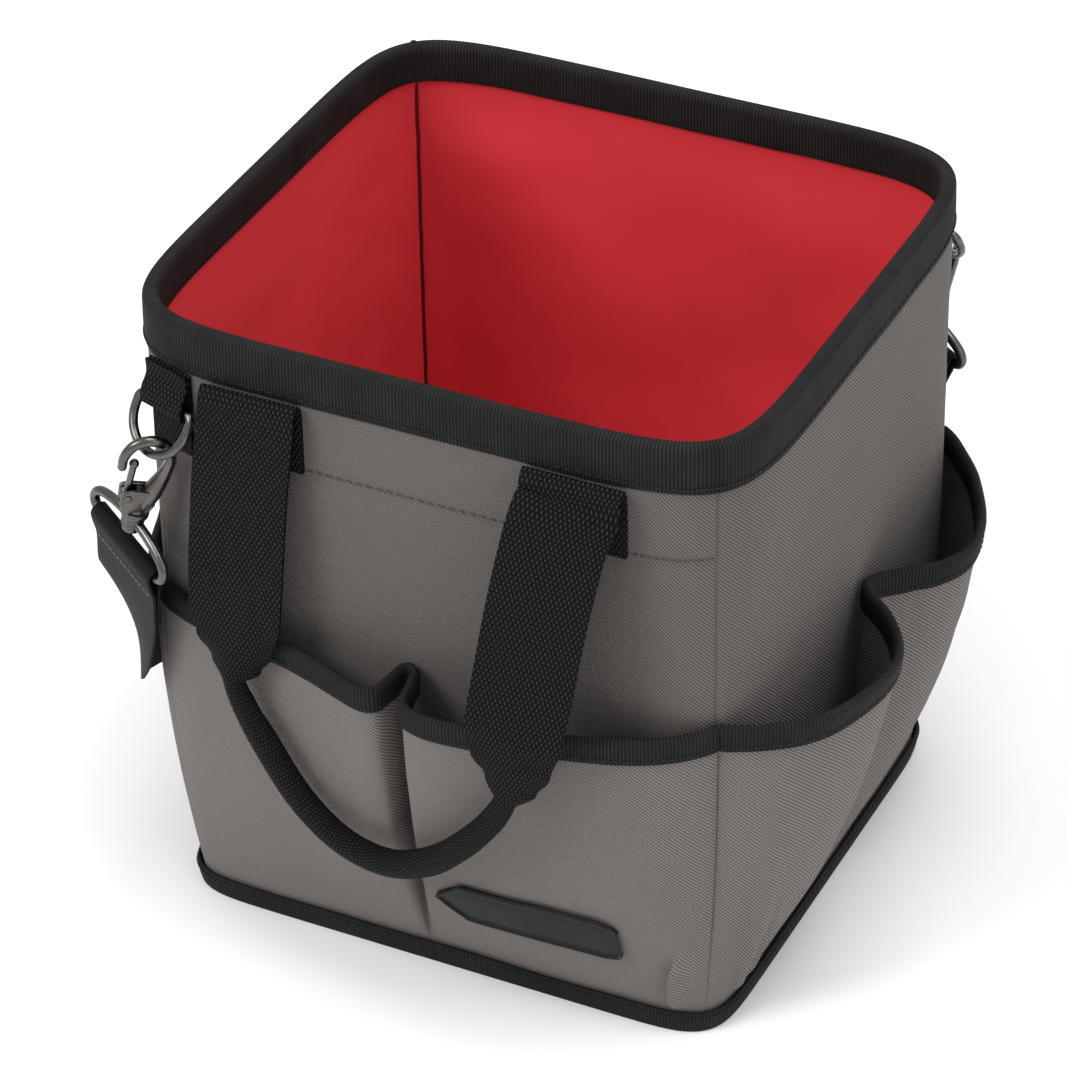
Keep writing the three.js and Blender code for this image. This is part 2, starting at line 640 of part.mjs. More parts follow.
// The webbing loop round the ring's bar, sewn to the wall by its two plies.
function tabGeometry() {
  const loop = RING_WIRE + GAP + WEBBING_THICKNESS / 2;
  const { stand, z: bar } = RING_BAR;
  const top = HANDLE_FOLD_TOP - 2;
  const rows = [
    { stand: plyStand, z: top, tilt: 180 },
    { stand: stand - loop, z: bar, tilt: 180 },
    { stand: stand - loop * 0.71, z: bar - loop * 0.71, tilt: 225 },
    { stand, z: bar - loop, tilt: 270 },
    { stand: stand + loop * 0.71, z: bar - loop * 0.71, tilt: 315 },
    { stand: stand + loop, z: bar, tilt: 360 },
    { stand: stand + 1.8, z: bar + 5, tilt: 360 },
    { stand: plyStand + 2, z: bar + 10, tilt: 360 },
    { stand: plyStand + 2, z: top, tilt: 360 },
  ];
  return band(rows.map((row) => (
    { place: new THREE.Vector3(0, -row.stand, row.z), facing: facingTilted(row.tilt) }
  )), TAB_WIDTH, 1, 2);
}

// The hook's jaw from its nose over the crown and down the spine, the forked body with the gate's pin,
// and the collar, post and head of the swivel below.
function hookGeometry() {
  const path = new THREE.SplineCurve(JAW_PATH.map(({ x, z }) => new THREE.Vector2(x, z)));
  const jaw = solid(wire(path.getSpacedPoints(20), JAW_WIRE, 8, false));
  const slot = plate([
    { x: FORK.left, z: FORK.bottom },
    { x: FORK.right, z: FORK.bottom },
    { x: FORK.right, z: FORK.top },
    { x: FORK.left, z: FORK.top },
  ], 2 * (GATE_HALF_THICKNESS + GAP));
  return geometryOf(jaw
    .add(solid(plate(BODY_OUTLINE, BODY_THICKNESS)))
    .subtract(solid(slot))
    .add(solid(crossPin(PIN_RADIUS, BODY_THICKNESS / 2 + 0.5)))
    .add(solid(axlePin(COLLAR)))
    .add(solid(axlePin(POST)))
    .add(solid(axlePin(POST_HEAD))));
}

// The gate: a round bar from its hub on the pin to the ball inside the nose.
function gateGeometry() {
  const pivot = new THREE.Vector3(GATE_PIVOT.x, 0, GATE_PIVOT.z);
  const tip = new THREE.Vector3(GATE_TIP.x, 0, GATE_TIP.z);
  const ball = new THREE.SphereGeometry(GATE_BALL, 8, 6).translate(tip.x, tip.y, tip.z);
  return geometryOf(solid(pin(GATE_BAR, pivot, tip, 10))
    .add(solid(ball))
    .add(solid(crossPin(GATE_HUB, GATE_HALF_THICKNESS)))
    .subtract(solid(crossPin(PIN_RADIUS + GAP, BODY_THICKNESS))));
}

// The eye's loop: a long bar for the strap, and an arch over it.
function eyeLoop() {
  const path = new THREE.Path();
  path.moveTo(-EYE_STRAIGHT, EYE_BAR);
  path.lineTo(EYE_STRAIGHT, EYE_BAR);
  path.quadraticCurveTo(EYE_HALF_LENGTH, EYE_BAR, EYE_HALF_LENGTH, EYE_SHOULDER);
  const rise = EYE_SHOULDER + 6;
  const bend = EYE_STRAIGHT - 8;
  path.bezierCurveTo(EYE_HALF_LENGTH, rise, bend, EYE_TOP, 0, EYE_TOP);
  path.bezierCurveTo(-bend, EYE_TOP, -EYE_HALF_LENGTH, rise, -EYE_HALF_LENGTH, EYE_SHOULDER);
  path.quadraticCurveTo(-EYE_HALF_LENGTH, EYE_BAR, -EYE_STRAIGHT, EYE_BAR);
  return wire(path.getSpacedPoints(26).slice(0, -1), EYE_WIRE, 6, true);
}

// The eye with its boss, drilled for the hook's post.
function eyeGeometry() {
  const hole = { radius: POST.radius + GAP, top: EYE_BOSS.top + 1, bottom: EYE_BOSS.bottom - 1 };
  return geometryOf(solid(eyeLoop()).add(solid(axlePin(EYE_BOSS))).subtract(solid(axlePin(hole))));
}

// The hidden hook: a closed oval link and an eye, turned about its axis, in one piece.
function plainHookGeometry(eyeTurn) {
  const crown = JAW_PATH[3].z;
  const radius = JAW_PATH[5].x;
  const path = new THREE.Path();
  path.absarc(0, crown - radius, radius, 0, Math.PI, false);
  path.absarc(0, EYE_TOP + radius, radius, Math.PI, 2 * Math.PI, false);
  path.closePath();
  const link = wire(path.getSpacedPoints(20).slice(0, -1), JAW_WIRE, 6, true);
  return geometryOf(solid(link).add(solid(eyeLoop().rotateZ(eyeTurn))));
}

// A ring, its tab and the frame of the hook that hangs from its bow, at the front left corner or turned
// to the back right one.
function hardware(where, turn) {
  const end = new THREE.Group();
  end.rotation.z = turn;
  bag.add(end);
  const { halfAlong, corner } = wallForm('front', RING_BAR.z);
  const share = RING_ALONG / (halfAlong * corner);
  const seat = wallPoint('front', share, RING_BAR.z, 0);
  const out = wallPoint('front', share, RING_BAR.z, 1).sub(seat);
  const mount = new THREE.Group();
  mount.position.set(seat.x, seat.y, 0);
  mount.rotation.z = Math.atan2(out.x, -out.y);
  end.add(mount);
  place(`ring_tab_${where}`, 'webbing', tabGeometry(), mount);
  const swung = new THREE.Group();
  swung.position.set(0, -RING_BAR.stand, RING_BAR.z);
  swung.rotation.x = RING_SWING;
  mount.add(swung);
  place(`d_ring_${where}`, 'steel', ringGeometry(), swung);
  mount.updateMatrix();
  swung.updateMatrix();
  const hook = new THREE.Group();
  const [pitch, lean, hang] = [HOOKS[where].pitch, HOOKS[where].lean, HOOKS[where].turn]
    .map((degrees) => THREE.MathUtils.degToRad(degrees));
  hook.rotation.set(pitch, lean, hang, 'ZXY');
  hook.position.set(0, 0, -RING_DROP).applyMatrix4(swung.matrix).applyMatrix4(mount.matrix);
  hook.translateZ(-HOOK_SEAT);
  end.add(hook);
  const eye = new THREE.Group();
  eye.rotation.z = THREE.MathUtils.degToRad(HOOKS[where].eye);
  hook.add(eye);
  return { hook, eye };
}
const front = hardware('front', 0);
place('hook_front', 'steel', hookGeometry(), front.hook);
place('gate_front', 'steel', gateGeometry(), front.hook);
place('eye_front', 'steel', eyeGeometry(), front.eye);
const back = hardware('back', Math.PI);
place('hook_back', 'steel', plainHookGeometry(back.eye.rotation.z), back.hook);
bag.updateMatrixWorld(true);

// The strap's turn round an eye's bar: its sewn tail behind, up over the bar and down in front.
function strapEnd(eye, swing) {
  const loop = EYE_WIRE + GAP + WEBBING_THICKNESS / 2;
  const turn = new THREE.Matrix4().makeRotationX(THREE.MathUtils.degToRad(swing));
  const bar = new THREE.Matrix4().makeTranslation(0, 0, EYE_BAR);
  const frame = bar.multiply(turn).premultiply(eye.matrixWorld);
  const rows = [
    { below: STRAP_TAIL, front: -1 },
    { below: 14, front: -1.4 },
    { below: 5, front: -2.8 },
    { below: 0, front: -loop },
    { below: -loop * 0.71, front: -loop * 0.71 },
    { below: -loop, front: 0 },
    { below: -loop * 0.71, front: loop * 0.71 },
    { below: 0, front: loop },
    { below: 5, front: 2.8 },
    { below: 14, front: 1.2 },
    { below: STRAP_TAIL, front: 1 },
  ];
  return rows.map(({ below, front: forward }) => {
    const lift = Math.max(-below, 0);
    const reach = below > 0 ? Math.sign(forward) : forward;
    return {
      place: new THREE.Vector3(0, -forward, -below).applyMatrix4(frame),
      facing: new THREE.Vector3(0, -reach, lift).transformDirection(frame),
    };
  });
}
const strapWay = STRAP_STATIONS.map(({ x, y, z, facing }) => {
  const bearing = THREE.MathUtils.degToRad(facing);
  return {
    place: new THREE.Vector3(x, y, z),
    facing: new THREE.Vector3(-Math.sin(bearing), -Math.cos(bearing), 0),
  };
});
const strapStations = [
  ...strapEnd(front.eye, HOOKS.front.swing),
  ...strapWay,
  ...strapEnd(back.eye, HOOKS.back.swing).reverse(),
];
place('shoulder_strap', 'strap', band(strapStations, STRAP_WIDTH, 1, 2));

export default bag;
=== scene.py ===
import logging
import math
from collections.abc import Callable, Iterable, Sequence
from dataclasses import dataclass
from enum import Enum
from functools import partial

import bmesh
import bpy
from mathutils import Matrix, Vector, noise


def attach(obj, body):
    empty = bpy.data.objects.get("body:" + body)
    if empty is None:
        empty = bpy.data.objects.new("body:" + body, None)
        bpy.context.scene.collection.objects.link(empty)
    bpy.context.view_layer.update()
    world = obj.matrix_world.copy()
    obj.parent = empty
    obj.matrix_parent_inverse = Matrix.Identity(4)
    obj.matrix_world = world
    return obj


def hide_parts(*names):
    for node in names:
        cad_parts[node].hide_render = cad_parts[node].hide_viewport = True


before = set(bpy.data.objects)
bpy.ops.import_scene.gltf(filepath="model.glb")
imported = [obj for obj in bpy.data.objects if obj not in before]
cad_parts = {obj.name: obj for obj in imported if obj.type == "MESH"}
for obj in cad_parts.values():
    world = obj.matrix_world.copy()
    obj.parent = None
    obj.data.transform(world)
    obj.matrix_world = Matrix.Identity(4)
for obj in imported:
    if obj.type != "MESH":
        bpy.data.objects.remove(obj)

LOG = logging.getLogger("tool_bag")
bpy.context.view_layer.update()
MM = 0.001
BAG = "bag"
GATE = "gate"
WEAVE_MAP = "weave"
DIAGONAL = 0.71

Pair = tuple[float, float]
Triple = tuple[float, float, float]
Colour = tuple[float, float, float]
Cells = tuple[int, int]
Path = Callable[[float], Vector]
Place = Callable[[float, float], Vector]
Piece = bpy.types.Object
Material = bpy.types.Material
Socket = bpy.types.NodeSocket


class Side(Enum):
    """A side of the bag, with the way along it, seen from outside, and the way out of it."""

    FRONT = ((1, 0), (0, -1))
    RIGHT = ((0, 1), (1, 0))
    BACK = ((-1, 0), (0, 1))
    LEFT = ((0, -1), (-1, 0))

    @property
    def label(self) -> str:
        """The side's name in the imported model."""
        return self.name.lower()

    @property
    def number(self) -> int:
        """The side's place in the order round the bag."""
        return list(Side).index(self)


def mix(low: float, high: float, share: float) -> float:
    """The value at a share of the way from low to high."""
    return low + (high - low) * share


def clamp(value: float, low: float = 0.0, high: float = 1.0) -> float:
    """The value kept between low and high."""
    return max(low, min(high, value))


def ease(low: float, high: float, value: float) -> float:
    """A smooth rise from 0 at low to 1 at high."""
    share = clamp((value - low) / (high - low))
    return share * share * (3 - 2 * share)


def bump(centre: float, width: float, value: float) -> float:
    """A smooth hump of height 1 about a centre."""
    return math.exp(-(((value - centre) / width) ** 2))


def ripple(point: Vector, size: float, seed: float) -> float:
    """Soft unevenness of hand-sewn cloth.

    Args:
        point: Place in millimetres.
        size: Length of one undulation in millimetres.
        seed: Shifts the pattern, so that pieces differ.

    Returns:
        A number from about -1 to 1.
    """
    return noise.noise(Vector((point.x / size + seed, point.y / size - seed, point.z / size)))


def path_length(path: Path, steps: int = 240) -> float:
    """Length of a path in millimetres, measured in small steps."""
    points = [path(i / steps) for i in range(steps + 1)]
    return sum((b - a).length for a, b in zip(points, points[1:]))


class Spline:
    """A smooth open curve through points, evenly shared out between them."""

    def __init__(self, points: Sequence[Vector]) -> None:
        """Keeps the points, with one more past each end."""
        rows = [Vector(p) for p in points]
        self.rows = [rows[0] * 2 - rows[1], *rows, rows[-1] * 2 - rows[-2]]

    def at(self, share: float) -> Vector:
        """The point at a share of the way from the first point to the last.

        Args:
            share: From 0 to 1.

        Returns:
            The point on the curve.
        """
        spans = len(self.rows) - 3
        place = clamp(share) * spans
        i = min(int(place), spans - 1)
        t = place - i
        p0, p1, p2, p3 = self.rows[i : i + 4]
        d1 = max((p2 - p1).length ** 0.5, 1e-4)
        d0 = (p1 - p0).length ** 0.5 or d1
        d2 = (p3 - p2).length ** 0.5 or d1
        m1 = ((p1 - p0) / d0 - (p2 - p0) / (d0 + d1) + (p2 - p1) / d1) * d1
        m2 = ((p2 - p1) / d1 - (p3 - p1) / (d1 + d2) + (p3 - p2) / d2) * d1
        return (
            p1
            + m1 * t
            + (p1 * -3 + p2 * 3 - m1 * 2 - m2) * t**2
            + (p1 * 2 - p2 * 2 + m1 + m2) * t**3
        )

    def tangent(self, share: float) -> Vector:
        """The unit direction of the curve at a share of its way."""
        step = 0.0005
        return (self.at(share + step) - self.at(share - step)).normalized()


def section_curve(rows: Sequence[Pair]) -> Spline:
    """The curve of a tape's section, through rows of distance out and height."""
    return Spline([Vector((out, z, 0)) for out, z in rows])


@dataclass(frozen=True)
class BagForm:
    """Plan of the bag's outer cloth: a superellipse that swells and softens from base to rim."""

    base_half: Pair = (124.0, 117.0)
    rim_half: Pair = (139.5, 130.5)
    base_squareness: float = 14.0
    rim_squareness: float = 7.0
    swell_height: float = 170.0

    def section(self, side: Side, z: float) -> tuple[float, float, float, float]:
        """Half sizes along and out of a side, squareness, and the corner seam's share.

        Args:
            side: Which wall.
            z: Height in millimetres.

        Returns:
            Half size along, half size out, squareness and corner share.
        """
        swell = math.sin(clamp(z / self.swell_height) * math.pi / 2)
        width = mix(self.base_half[0], self.rim_half[0], swell)
        depth = mix(self.base_half[1], self.rim_half[1], swell)
        power = mix(self.base_squareness, self.rim_squareness, swell)
        half = (width, depth) if side in (Side.FRONT, Side.BACK) else (depth, width)
        return half[0], half[1], power, 2 ** (-1 / power)

    def point(self, side: Side, share: float, z: float, stand: float = 0.0) -> Vector:
        """A point at a distance out of the wall's outer face.

        Args:
            side: Which wall.
            share: Place along it, -1 and 1 at its corner seams.
            z: Height in millimetres.
            stand: Distance out of the face in millimetres.

        Returns:
            The point in millimetres.
        """
        half_along, half_out, power, corner = self.section(side, z)
        a = clamp(share, -1, 1) * corner
        o = (1 - abs(a) ** power) ** (1 / power)
        slope = math.copysign(abs(a) ** (power - 1), a) / half_along
        normal = Vector((slope, o ** (power - 1) / half_out)).normalized()
        (ax, ay), (ox, oy) = side.value
        along = a * half_along + stand * normal.x
        out = o * half_out + stand * normal.y
        return Vector((ax * along + ox * out, ay * along + oy * out, z))

    def around(self, turn: float, z: float, stand: float) -> Vector:
        """A point on the way round the bag, four sides to one turn of 0 to 1."""
        place = (turn % 1.0) * 4
        side = list(Side)[int(place) % 4]
        share = math.sin((place % 1.0 - 0.5) * math.pi)
        return self.point(side, share, z, stand)


FORM = BagForm()


class Graph:
    """A material under construction, with short calls to add and join its nodes."""

    def __init__(self, name: str, roughness: float, specular: float = 0.5, metallic: float = 0.0) -> None:
        """Starts a material with its plain values on the shader."""
        self.material = bpy.data.materials.new(name)
        self.material.use_nodes = True
        self.tree = self.material.node_tree
        self.shader = self.tree.nodes["Principled BSDF"]
        self.shade(Roughness=roughness, Specular_IOR_Level=specular, Metallic=metallic)

    def feed(self, socket: Socket, value: object) -> None:
        """Joins a socket to another one, or sets its number or colour."""
        if isinstance(value, Socket):
            self.tree.links.new(value, socket)
        elif isinstance(value, tuple):
            socket.default_value = (*value, 1.0)
        else:
            socket.default_value = value

    def shade(self, **values: object) -> None:
        """Sets or joins the shader's inputs, named with underscores for spaces."""
        for key, value in values.items():
            self.feed(self.shader.inputs[key.replace("_", " ")], value)

    def node(self, kind: str, **values: object) -> bpy.types.Node:
        """Adds a node.

        Args:
            kind: The node's type name without its prefix.
            **values: Properties, or inputs named with underscores for spaces.

        Returns:
            The new node.
        """
        made = self.tree.nodes.new(f"ShaderNode{kind}")
        for key, value in values.items():
            if hasattr(made, key):
                setattr(made, key, value)
            else:
                self.feed(made.inputs[key.replace("_", " ")], value)
        return made

    def math(self, operation: str, a: object, b: object = 0.0) -> Socket:
        """The result of a calculation with two numbers or sockets."""
        made = self.node("Math", operation=operation)
        for socket, value in zip(made.inputs, (a, b)):
            self.feed(socket, value)
        return made.outputs[0]

    def blend(self, factor: object, low: object, high: object) -> Socket:
        """A colour between two colours or sockets."""
        made = self.node("Mix", data_type="RGBA")
        for index, value in ((0, factor), (6, low), (7, high)):
            self.feed(made.inputs[index], value)
        return made.outputs[2]

    def weave_axes(self) -> tuple[Socket, Socket]:
        """Sockets for the two distances over the cloth, in millimetres."""
        uv = self.node("UVMap", uv_map=WEAVE_MAP)
        split = self.node("SeparateXYZ", Vector=uv.outputs[0])
        first, second = (self.math("MULTIPLY", axis, 1000) for axis in split.outputs[:2])
        return first, second

    def threads(self, distance: Socket, period: float) -> Socket:
        """Round threads side by side, from 0 to 1, at a period in millimetres."""
        wave = self.math("SINE", self.math("MULTIPLY", distance, 2 * math.pi / period))
        return self.math("ADD", self.math("MULTIPLY", wave, 0.5), 0.5)

    def total(self, first: Socket, share: float, second: Socket, other: float) -> Socket:
        """The sum of two patterns, each with its share."""
        return self.math("ADD", self.math("MULTIPLY", first, share), self.math("MULTIPLY", second, other))

    def mottle(self, scale: float, detail: float = 3.0) -> Socket:
        """Soft blotches through the piece's own space, from 0 to 1."""
        place = self.node("TexCoord")
        made = self.node("TexNoise", Vector=place.outputs["Object"], Scale=scale, Detail=detail)
        return made.outputs[0]

    def relief(self, height: Socket, strength: float, distance: float) -> None:
        """Raises the surface by a height pattern."""
        made = self.node("Bump", Height=height, Strength=strength, Distance=distance)
        self.shade(Normal=made.outputs[0])

    def sheen(self, weight: float, roughness: float, tint: Colour) -> None:
        """Gives cloth its soft edge light."""
        self.shade(Sheen_Weight=weight, Sheen_Roughness=roughness, Sheen_Tint=tint)


@dataclass(frozen=True)
class Twill:
    """Warm grey twill with a fine diagonal rib."""

    name: str = "grey_twill"
    dark: Colour = (0.021, 0.0188, 0.0178)
    # This default light end, used on the walls, is painted darker than the pockets' copy: painted shade on
    # the walls.
    light: Colour = (0.183, 0.165, 0.156)
    rib: float = 1.8
    thread: float = 1.1

    def material(self) -> Material:
        """Builds the finish."""
        graph = Graph(self.name, 0.9, 0.15)
        across, up = graph.weave_axes()
        uneven = graph.math("MULTIPLY", graph.mottle(45.0, 1.0), 1.2)
        diagonal = graph.math("ADD", across, graph.math("ADD", up, uneven))
        rib = graph.threads(diagonal, self.rib)
        thread = graph.threads(graph.math("SUBTRACT", across, up), self.thread)
        weave = graph.total(rib, 0.8, thread, 0.2)
        cloth = graph.total(weave, 0.85, graph.mottle(1100.0), 0.16)
        base = graph.blend(cloth, self.dark, self.light)
        worn = graph.math("MULTIPLY", graph.mottle(13.0, 4.0), 0.2)
        graph.shade(Base_Color=graph.blend(worn, base, self.light))
        graph.relief(weave, 0.6, 0.0005)
        graph.sheen(0.06, 0.5, (0.9, 0.87, 0.85))
        return graph.material


@dataclass(frozen=True)
class Lining:
    """Smooth red lining cloth."""

    name: str = "red_lining"
    deep: Colour = (0.47, 0.024, 0.034)
    bright: Colour = (0.68, 0.045, 0.056)
    thread: float = 0.8

    def material(self) -> Material:
        """Builds the finish."""
        graph = Graph(self.name, 0.7, 0.2)
        across, up = graph.weave_axes()
        weave = graph.math("MULTIPLY", graph.threads(across, self.thread), graph.threads(up, self.thread))
        cloth = graph.total(graph.mottle(9.0), 0.8, weave, 0.25)
        graph.shade(Base_Color=graph.blend(cloth, self.deep, self.bright))
        graph.relief(weave, 0.2, 0.0002)
        graph.sheen(0.12, 0.4, (1.0, 0.35, 0.3))
        return graph.material


@dataclass(frozen=True)
class RibbedTape:
    """Black binding tape with ribs across it."""

    name: str = "black_tape"
    dark: Colour = (0.0030, 0.0030, 0.0032)
    light: Colour = (0.030, 0.0285, 0.0285)
    rib: float = 1.5
    thread: float = 0.9

    def material(self) -> Material:
        """Builds the finish."""
        graph = Graph(self.name, 0.75, 0.12)
        along, across = graph.weave_axes()
        height = graph.total(graph.threads(along, self.rib), 0.8, graph.threads(across, self.thread), 0.2)
        tone = graph.math("MULTIPLY", height, graph.math("ADD", graph.mottle(60.0), 0.2))
        graph.shade(Base_Color=graph.blend(tone, self.dark, self.light))
        graph.relief(height, 0.7, 0.0006)
        return graph.material


@dataclass(frozen=True)
class BasketWebbing:
    """Black webbing in a coarse basket weave with a slight gloss on its knots."""

    name: str = "black_webbing"
    dark: Colour = (0.0025, 0.0025, 0.0026)
    light: Colour = (0.054, 0.053, 0.0505)
    cell: float = 2.1
    squat: float = 0.55

    def material(self) -> Material:
        """Builds the finish."""
        graph = Graph(self.name, 0.65, 0.08)
        across, along = graph.weave_axes()
        length = graph.math("MULTIPLY", along, self.squat)
        one = graph.threads(graph.math("ADD", across, length), self.cell)
        two = graph.threads(graph.math("SUBTRACT", across, length), self.cell)
        knots = graph.math("MULTIPLY", one, two)
        strands = graph.threads(across, self.cell / 4)
        height = graph.total(knots, 0.8, strands, 0.2)
        tone = graph.math("MULTIPLY", graph.math("POWER", knots, 2.0), graph.math("ADD", strands, 0.4))
        graph.shade(Base_Color=graph.blend(tone, self.dark, self.light))
        graph.relief(height, 0.9, 0.0009)
        return graph.material


@dataclass(frozen=True)
class StrapWebbing:
    """Slate shoulder webbing with fine ribs, black where it goes round an eye's bar."""

    length: float
    name: str = "slate_strap"
    black: Colour = (0.004, 0.004, 0.0042)
    slate: Colour = (0.006, 0.0055, 0.008)
    pale: Colour = (0.026, 0.0245, 0.032)
    turn_length: float = 57.0
    rib: float = 1.6

    def material(self) -> Material:
        """Builds the finish."""
        graph = Graph(self.name, 0.65, 0.12)
        across, along = graph.weave_axes()
        ribs = graph.threads(across, self.rib)
        height = graph.total(ribs, 0.65, graph.threads(along, self.rib * 0.7), 0.35)
        cloth = graph.blend(height, self.slate, self.pale)
        first = graph.math("LESS_THAN", along, self.turn_length)
        last = graph.math("GREATER_THAN", along, self.length - self.turn_length)
        turn = graph.math("MULTIPLY", graph.math("ADD", first, last), 0.88)
        graph.shade(Base_Color=graph.blend(turn, cloth, self.black))
        graph.relief(height, 0.6, 0.0006)
        return graph.material


@dataclass(frozen=True)
class Gunmetal:
    """Dark plated steel with small tool marks."""

    name: str = "gunmetal"
    dark: Colour = (0.055, 0.051, 0.048)
    light: Colour = (0.17, 0.16, 0.152)

    def material(self) -> Material:
        """Builds the finish."""
        graph = Graph(self.name, 0.3, metallic=1.0)
        marks = graph.mottle(260.0, 5.0)
        rough = graph.math("ADD", graph.math("MULTIPLY", graph.mottle(90.0), 0.22), 0.15)
        graph.shade(Base_Color=graph.blend(marks, self.dark, self.light), Roughness=rough)
        graph.relief(marks, 0.1, 0.0003)
        return graph.material


@dataclass(frozen=True)
class MouldedRubber:
    """Matt black moulded rubber with a fine grain."""

    name: str = "black_rubber"
    dark: Colour = (0.004, 0.004, 0.0042)
    light: Colour = (0.015, 0.015, 0.0155)

    def material(self) -> Material:
        """Builds the finish."""
        graph = Graph(self.name, 0.45, 0.16)
        grain = graph.mottle(1500.0, 4.0)
        graph.shade(Base_Color=graph.blend(graph.math("MULTIPLY", grain, 0.8), self.dark, self.light))
        graph.relief(grain, 0.25, 0.0003)
        return graph.material


@dataclass(frozen=True)
class Thread:
    """Waxed sewing thread, and the dark strip of painted shade along the lining's corner seams."""

    name: str
    dark: Colour
    light: Colour

    def material(self) -> Material:
        """Builds the finish."""
        graph = Graph(self.name, 0.6, 0.2)
        graph.shade(Base_Color=graph.blend(graph.mottle(700.0, 2.0), self.dark, self.light))
        return graph.material


class Finishes:
    """The bag's finishes, made once and shared by its pieces."""

    def __init__(self, strap_length: float) -> None:
        """Builds every material."""
        self.twill = Twill().material()
        # The pockets' twill is the same cloth with its light end painted lighter: painted light on the
        # pockets.
        self.pocket_twill_painted_light = Twill("pocket_twill_painted_light", light=(0.240, 0.216, 0.204)).material()
        self.lining = Lining().material()
        self.tape = RibbedTape().material()
        self.webbing = BasketWebbing().material()
        self.strap = StrapWebbing(strap_length).material()
        self.steel = Gunmetal().material()
        self.rubber = MouldedRubber().material()
        # The lining's corner seams are painted near-black red: painted shade of the crease, on a real seam.
        self.seam = Thread("seam_painted_shade", (0.05, 0.003, 0.004), (0.1, 0.006, 0.008)).material()
        self.thread = Thread("black_thread", (0.004, 0.004, 0.0045), (0.022, 0.021, 0.021)).material()
        self.grey_thread = Thread("grey_thread", (0.03, 0.027, 0.025), (0.07, 0.064, 0.06)).material()
        self.pale_thread = Thread("pale_thread", (0.10, 0.095, 0.10), (0.19, 0.18, 0.19)).material()


def to_object(name: str, shape: bmesh.types.BMesh) -> Piece:
    """Puts a finished shape into the scene.

    Args:
        name: Name of the piece.
        shape: The shape in metres, which is freed.

    Returns:
        The new object at the origin.
    """
    for face in shape.faces:
        face.smooth = True
    mesh = bpy.data.meshes.new(name)
    shape.to_mesh(mesh)
    shape.free()
    made = bpy.data.objects.new(name, mesh)
    bpy.context.scene.collection.objects.link(made)
    return made


def run_lengths(points: Sequence[Vector]) -> list[float]:
    """Distances in metres along a row of points in millimetres."""
    total = [0.0]
    for here, after in zip(points, points[1:]):
        total.append(total[-1] + (after - here).length * MM)
    return total


def cut_cloth(name: str, cells: Cells, place: Place, closed: bool = False, row_at: float = 0.5) -> Piece:
    """Cuts a sheet and lays it in place, with its weave measured along the cloth in metres.

    Args:
        name: Name of the piece.
        cells: Cells along and up the sheet.
        place: Gives the place in millimetres for shares along and up.
        closed: Whether the sheet's two side edges are joined.
        row_at: Share up the sheet at which its width is measured.

    Returns:
        The new object.
    """
    shape = bmesh.new()
    bmesh.ops.create_grid(shape, x_segments=cells[0], y_segments=cells[1], size=0.5)
    shares = {vert: (vert.co.x + 0.5, vert.co.y + 0.5) for vert in shape.verts}
    columns = run_lengths([place(i / cells[0], row_at) for i in range(cells[0] + 1)])
    rows = run_lengths([place(0.5, i / cells[1]) for i in range(cells[1] + 1)])
    weave = shape.loops.layers.uv.new(WEAVE_MAP)
    for face in shape.faces:
        for loop in face.loops:
            along, up = shares[loop.vert]
            loop[weave].uv = (columns[round(along * cells[0])], rows[round(up * cells[1])])
    for vert, (along, up) in shares.items():
        vert.co = place(along, up) * MM
    if closed:
        bmesh.ops.remove_doubles(shape, verts=shape.verts, dist=1e-6)
    return to_object(name, shape)


def thicken(piece: Piece, thickness: float, offset: float, edge: float = 0.3) -> None:
    """Gives a sheet its thickness and rounds its edges.

    Args:
        piece: The sheet.
        thickness: In millimetres.
        offset: -1 for thickness behind the face, 0 for both sides.
        edge: Radius of the rounded edges in millimetres.
    """
    wall = piece.modifiers.new("thickness", "SOLIDIFY")
    wall.thickness = thickness * MM
    wall.offset = offset
    rounded = piece.modifiers.new("edge", "BEVEL")
    rounded.width = edge * MM
    rounded.segments = 2
    rounded.limit_method = "ANGLE"
    rounded.angle_limit = math.radians(60)


def dress(piece: Piece, material: Material, slot: str, *nodes: str, body: str = BAG) -> None:
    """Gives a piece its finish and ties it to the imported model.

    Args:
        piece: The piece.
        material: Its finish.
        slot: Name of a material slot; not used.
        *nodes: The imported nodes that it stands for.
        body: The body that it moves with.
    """
    piece.data.materials.clear()
    piece.data.materials.append(material)
    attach(piece, body)
    if nodes:
        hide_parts(*nodes)
    LOG.info("%s: %d faces", piece.name, len(piece.data.polygons))


def add_rod(
    shape: bmesh.types.BMesh, radius: float, start: Vector, end: Vector, segments: int
) -> Sequence[bmesh.types.BMVert]:
    """Adds a round rod to a shape.

    Args:
        shape: The shape in metres.
        radius: Half the rod's thickness in millimetres.
        start: The middle of its first end in millimetres.
        end: The middle of its other end in millimetres.
        segments: Flat faces round the rod.

    Returns:
        The rod's corners.
    """
    run = end - start
    turn = run.to_track_quat("Z", "Y").to_matrix().to_4x4()
    made = bmesh.ops.create_cone(
        shape,
        cap_ends=True,
        segments=segments,
        radius1=radius * MM,
        radius2=radius * MM,
        depth=run.length * MM,
        matrix=Matrix.Translation((start + end) / 2 * MM) @ turn,
    )
    return made["verts"]


def stitch_row(
    name: str, path: Path, material: Material, slot: str, pitch: float = 3.4, radius: float = 0.32
) -> None:
    """Sews a row of stitches along a path.

    Args:
        name: Name of the piece.
        path: Gives the place in millimetres for a share of the row.
        material: The thread.
        slot: Name of a material slot, passed on to dress.
        pitch: Distance from stitch to stitch in millimetres.
        radius: Half the thread's thickness in millimetres.
    """
    count = int(path_length(path) / pitch)
    shape = bmesh.new()
    for i in range(count):
        add_rod(shape, radius, path((i + 0.14) / count), path((i + 0.80) / count), 6)
    dress(to_object(name, shape), material, slot)


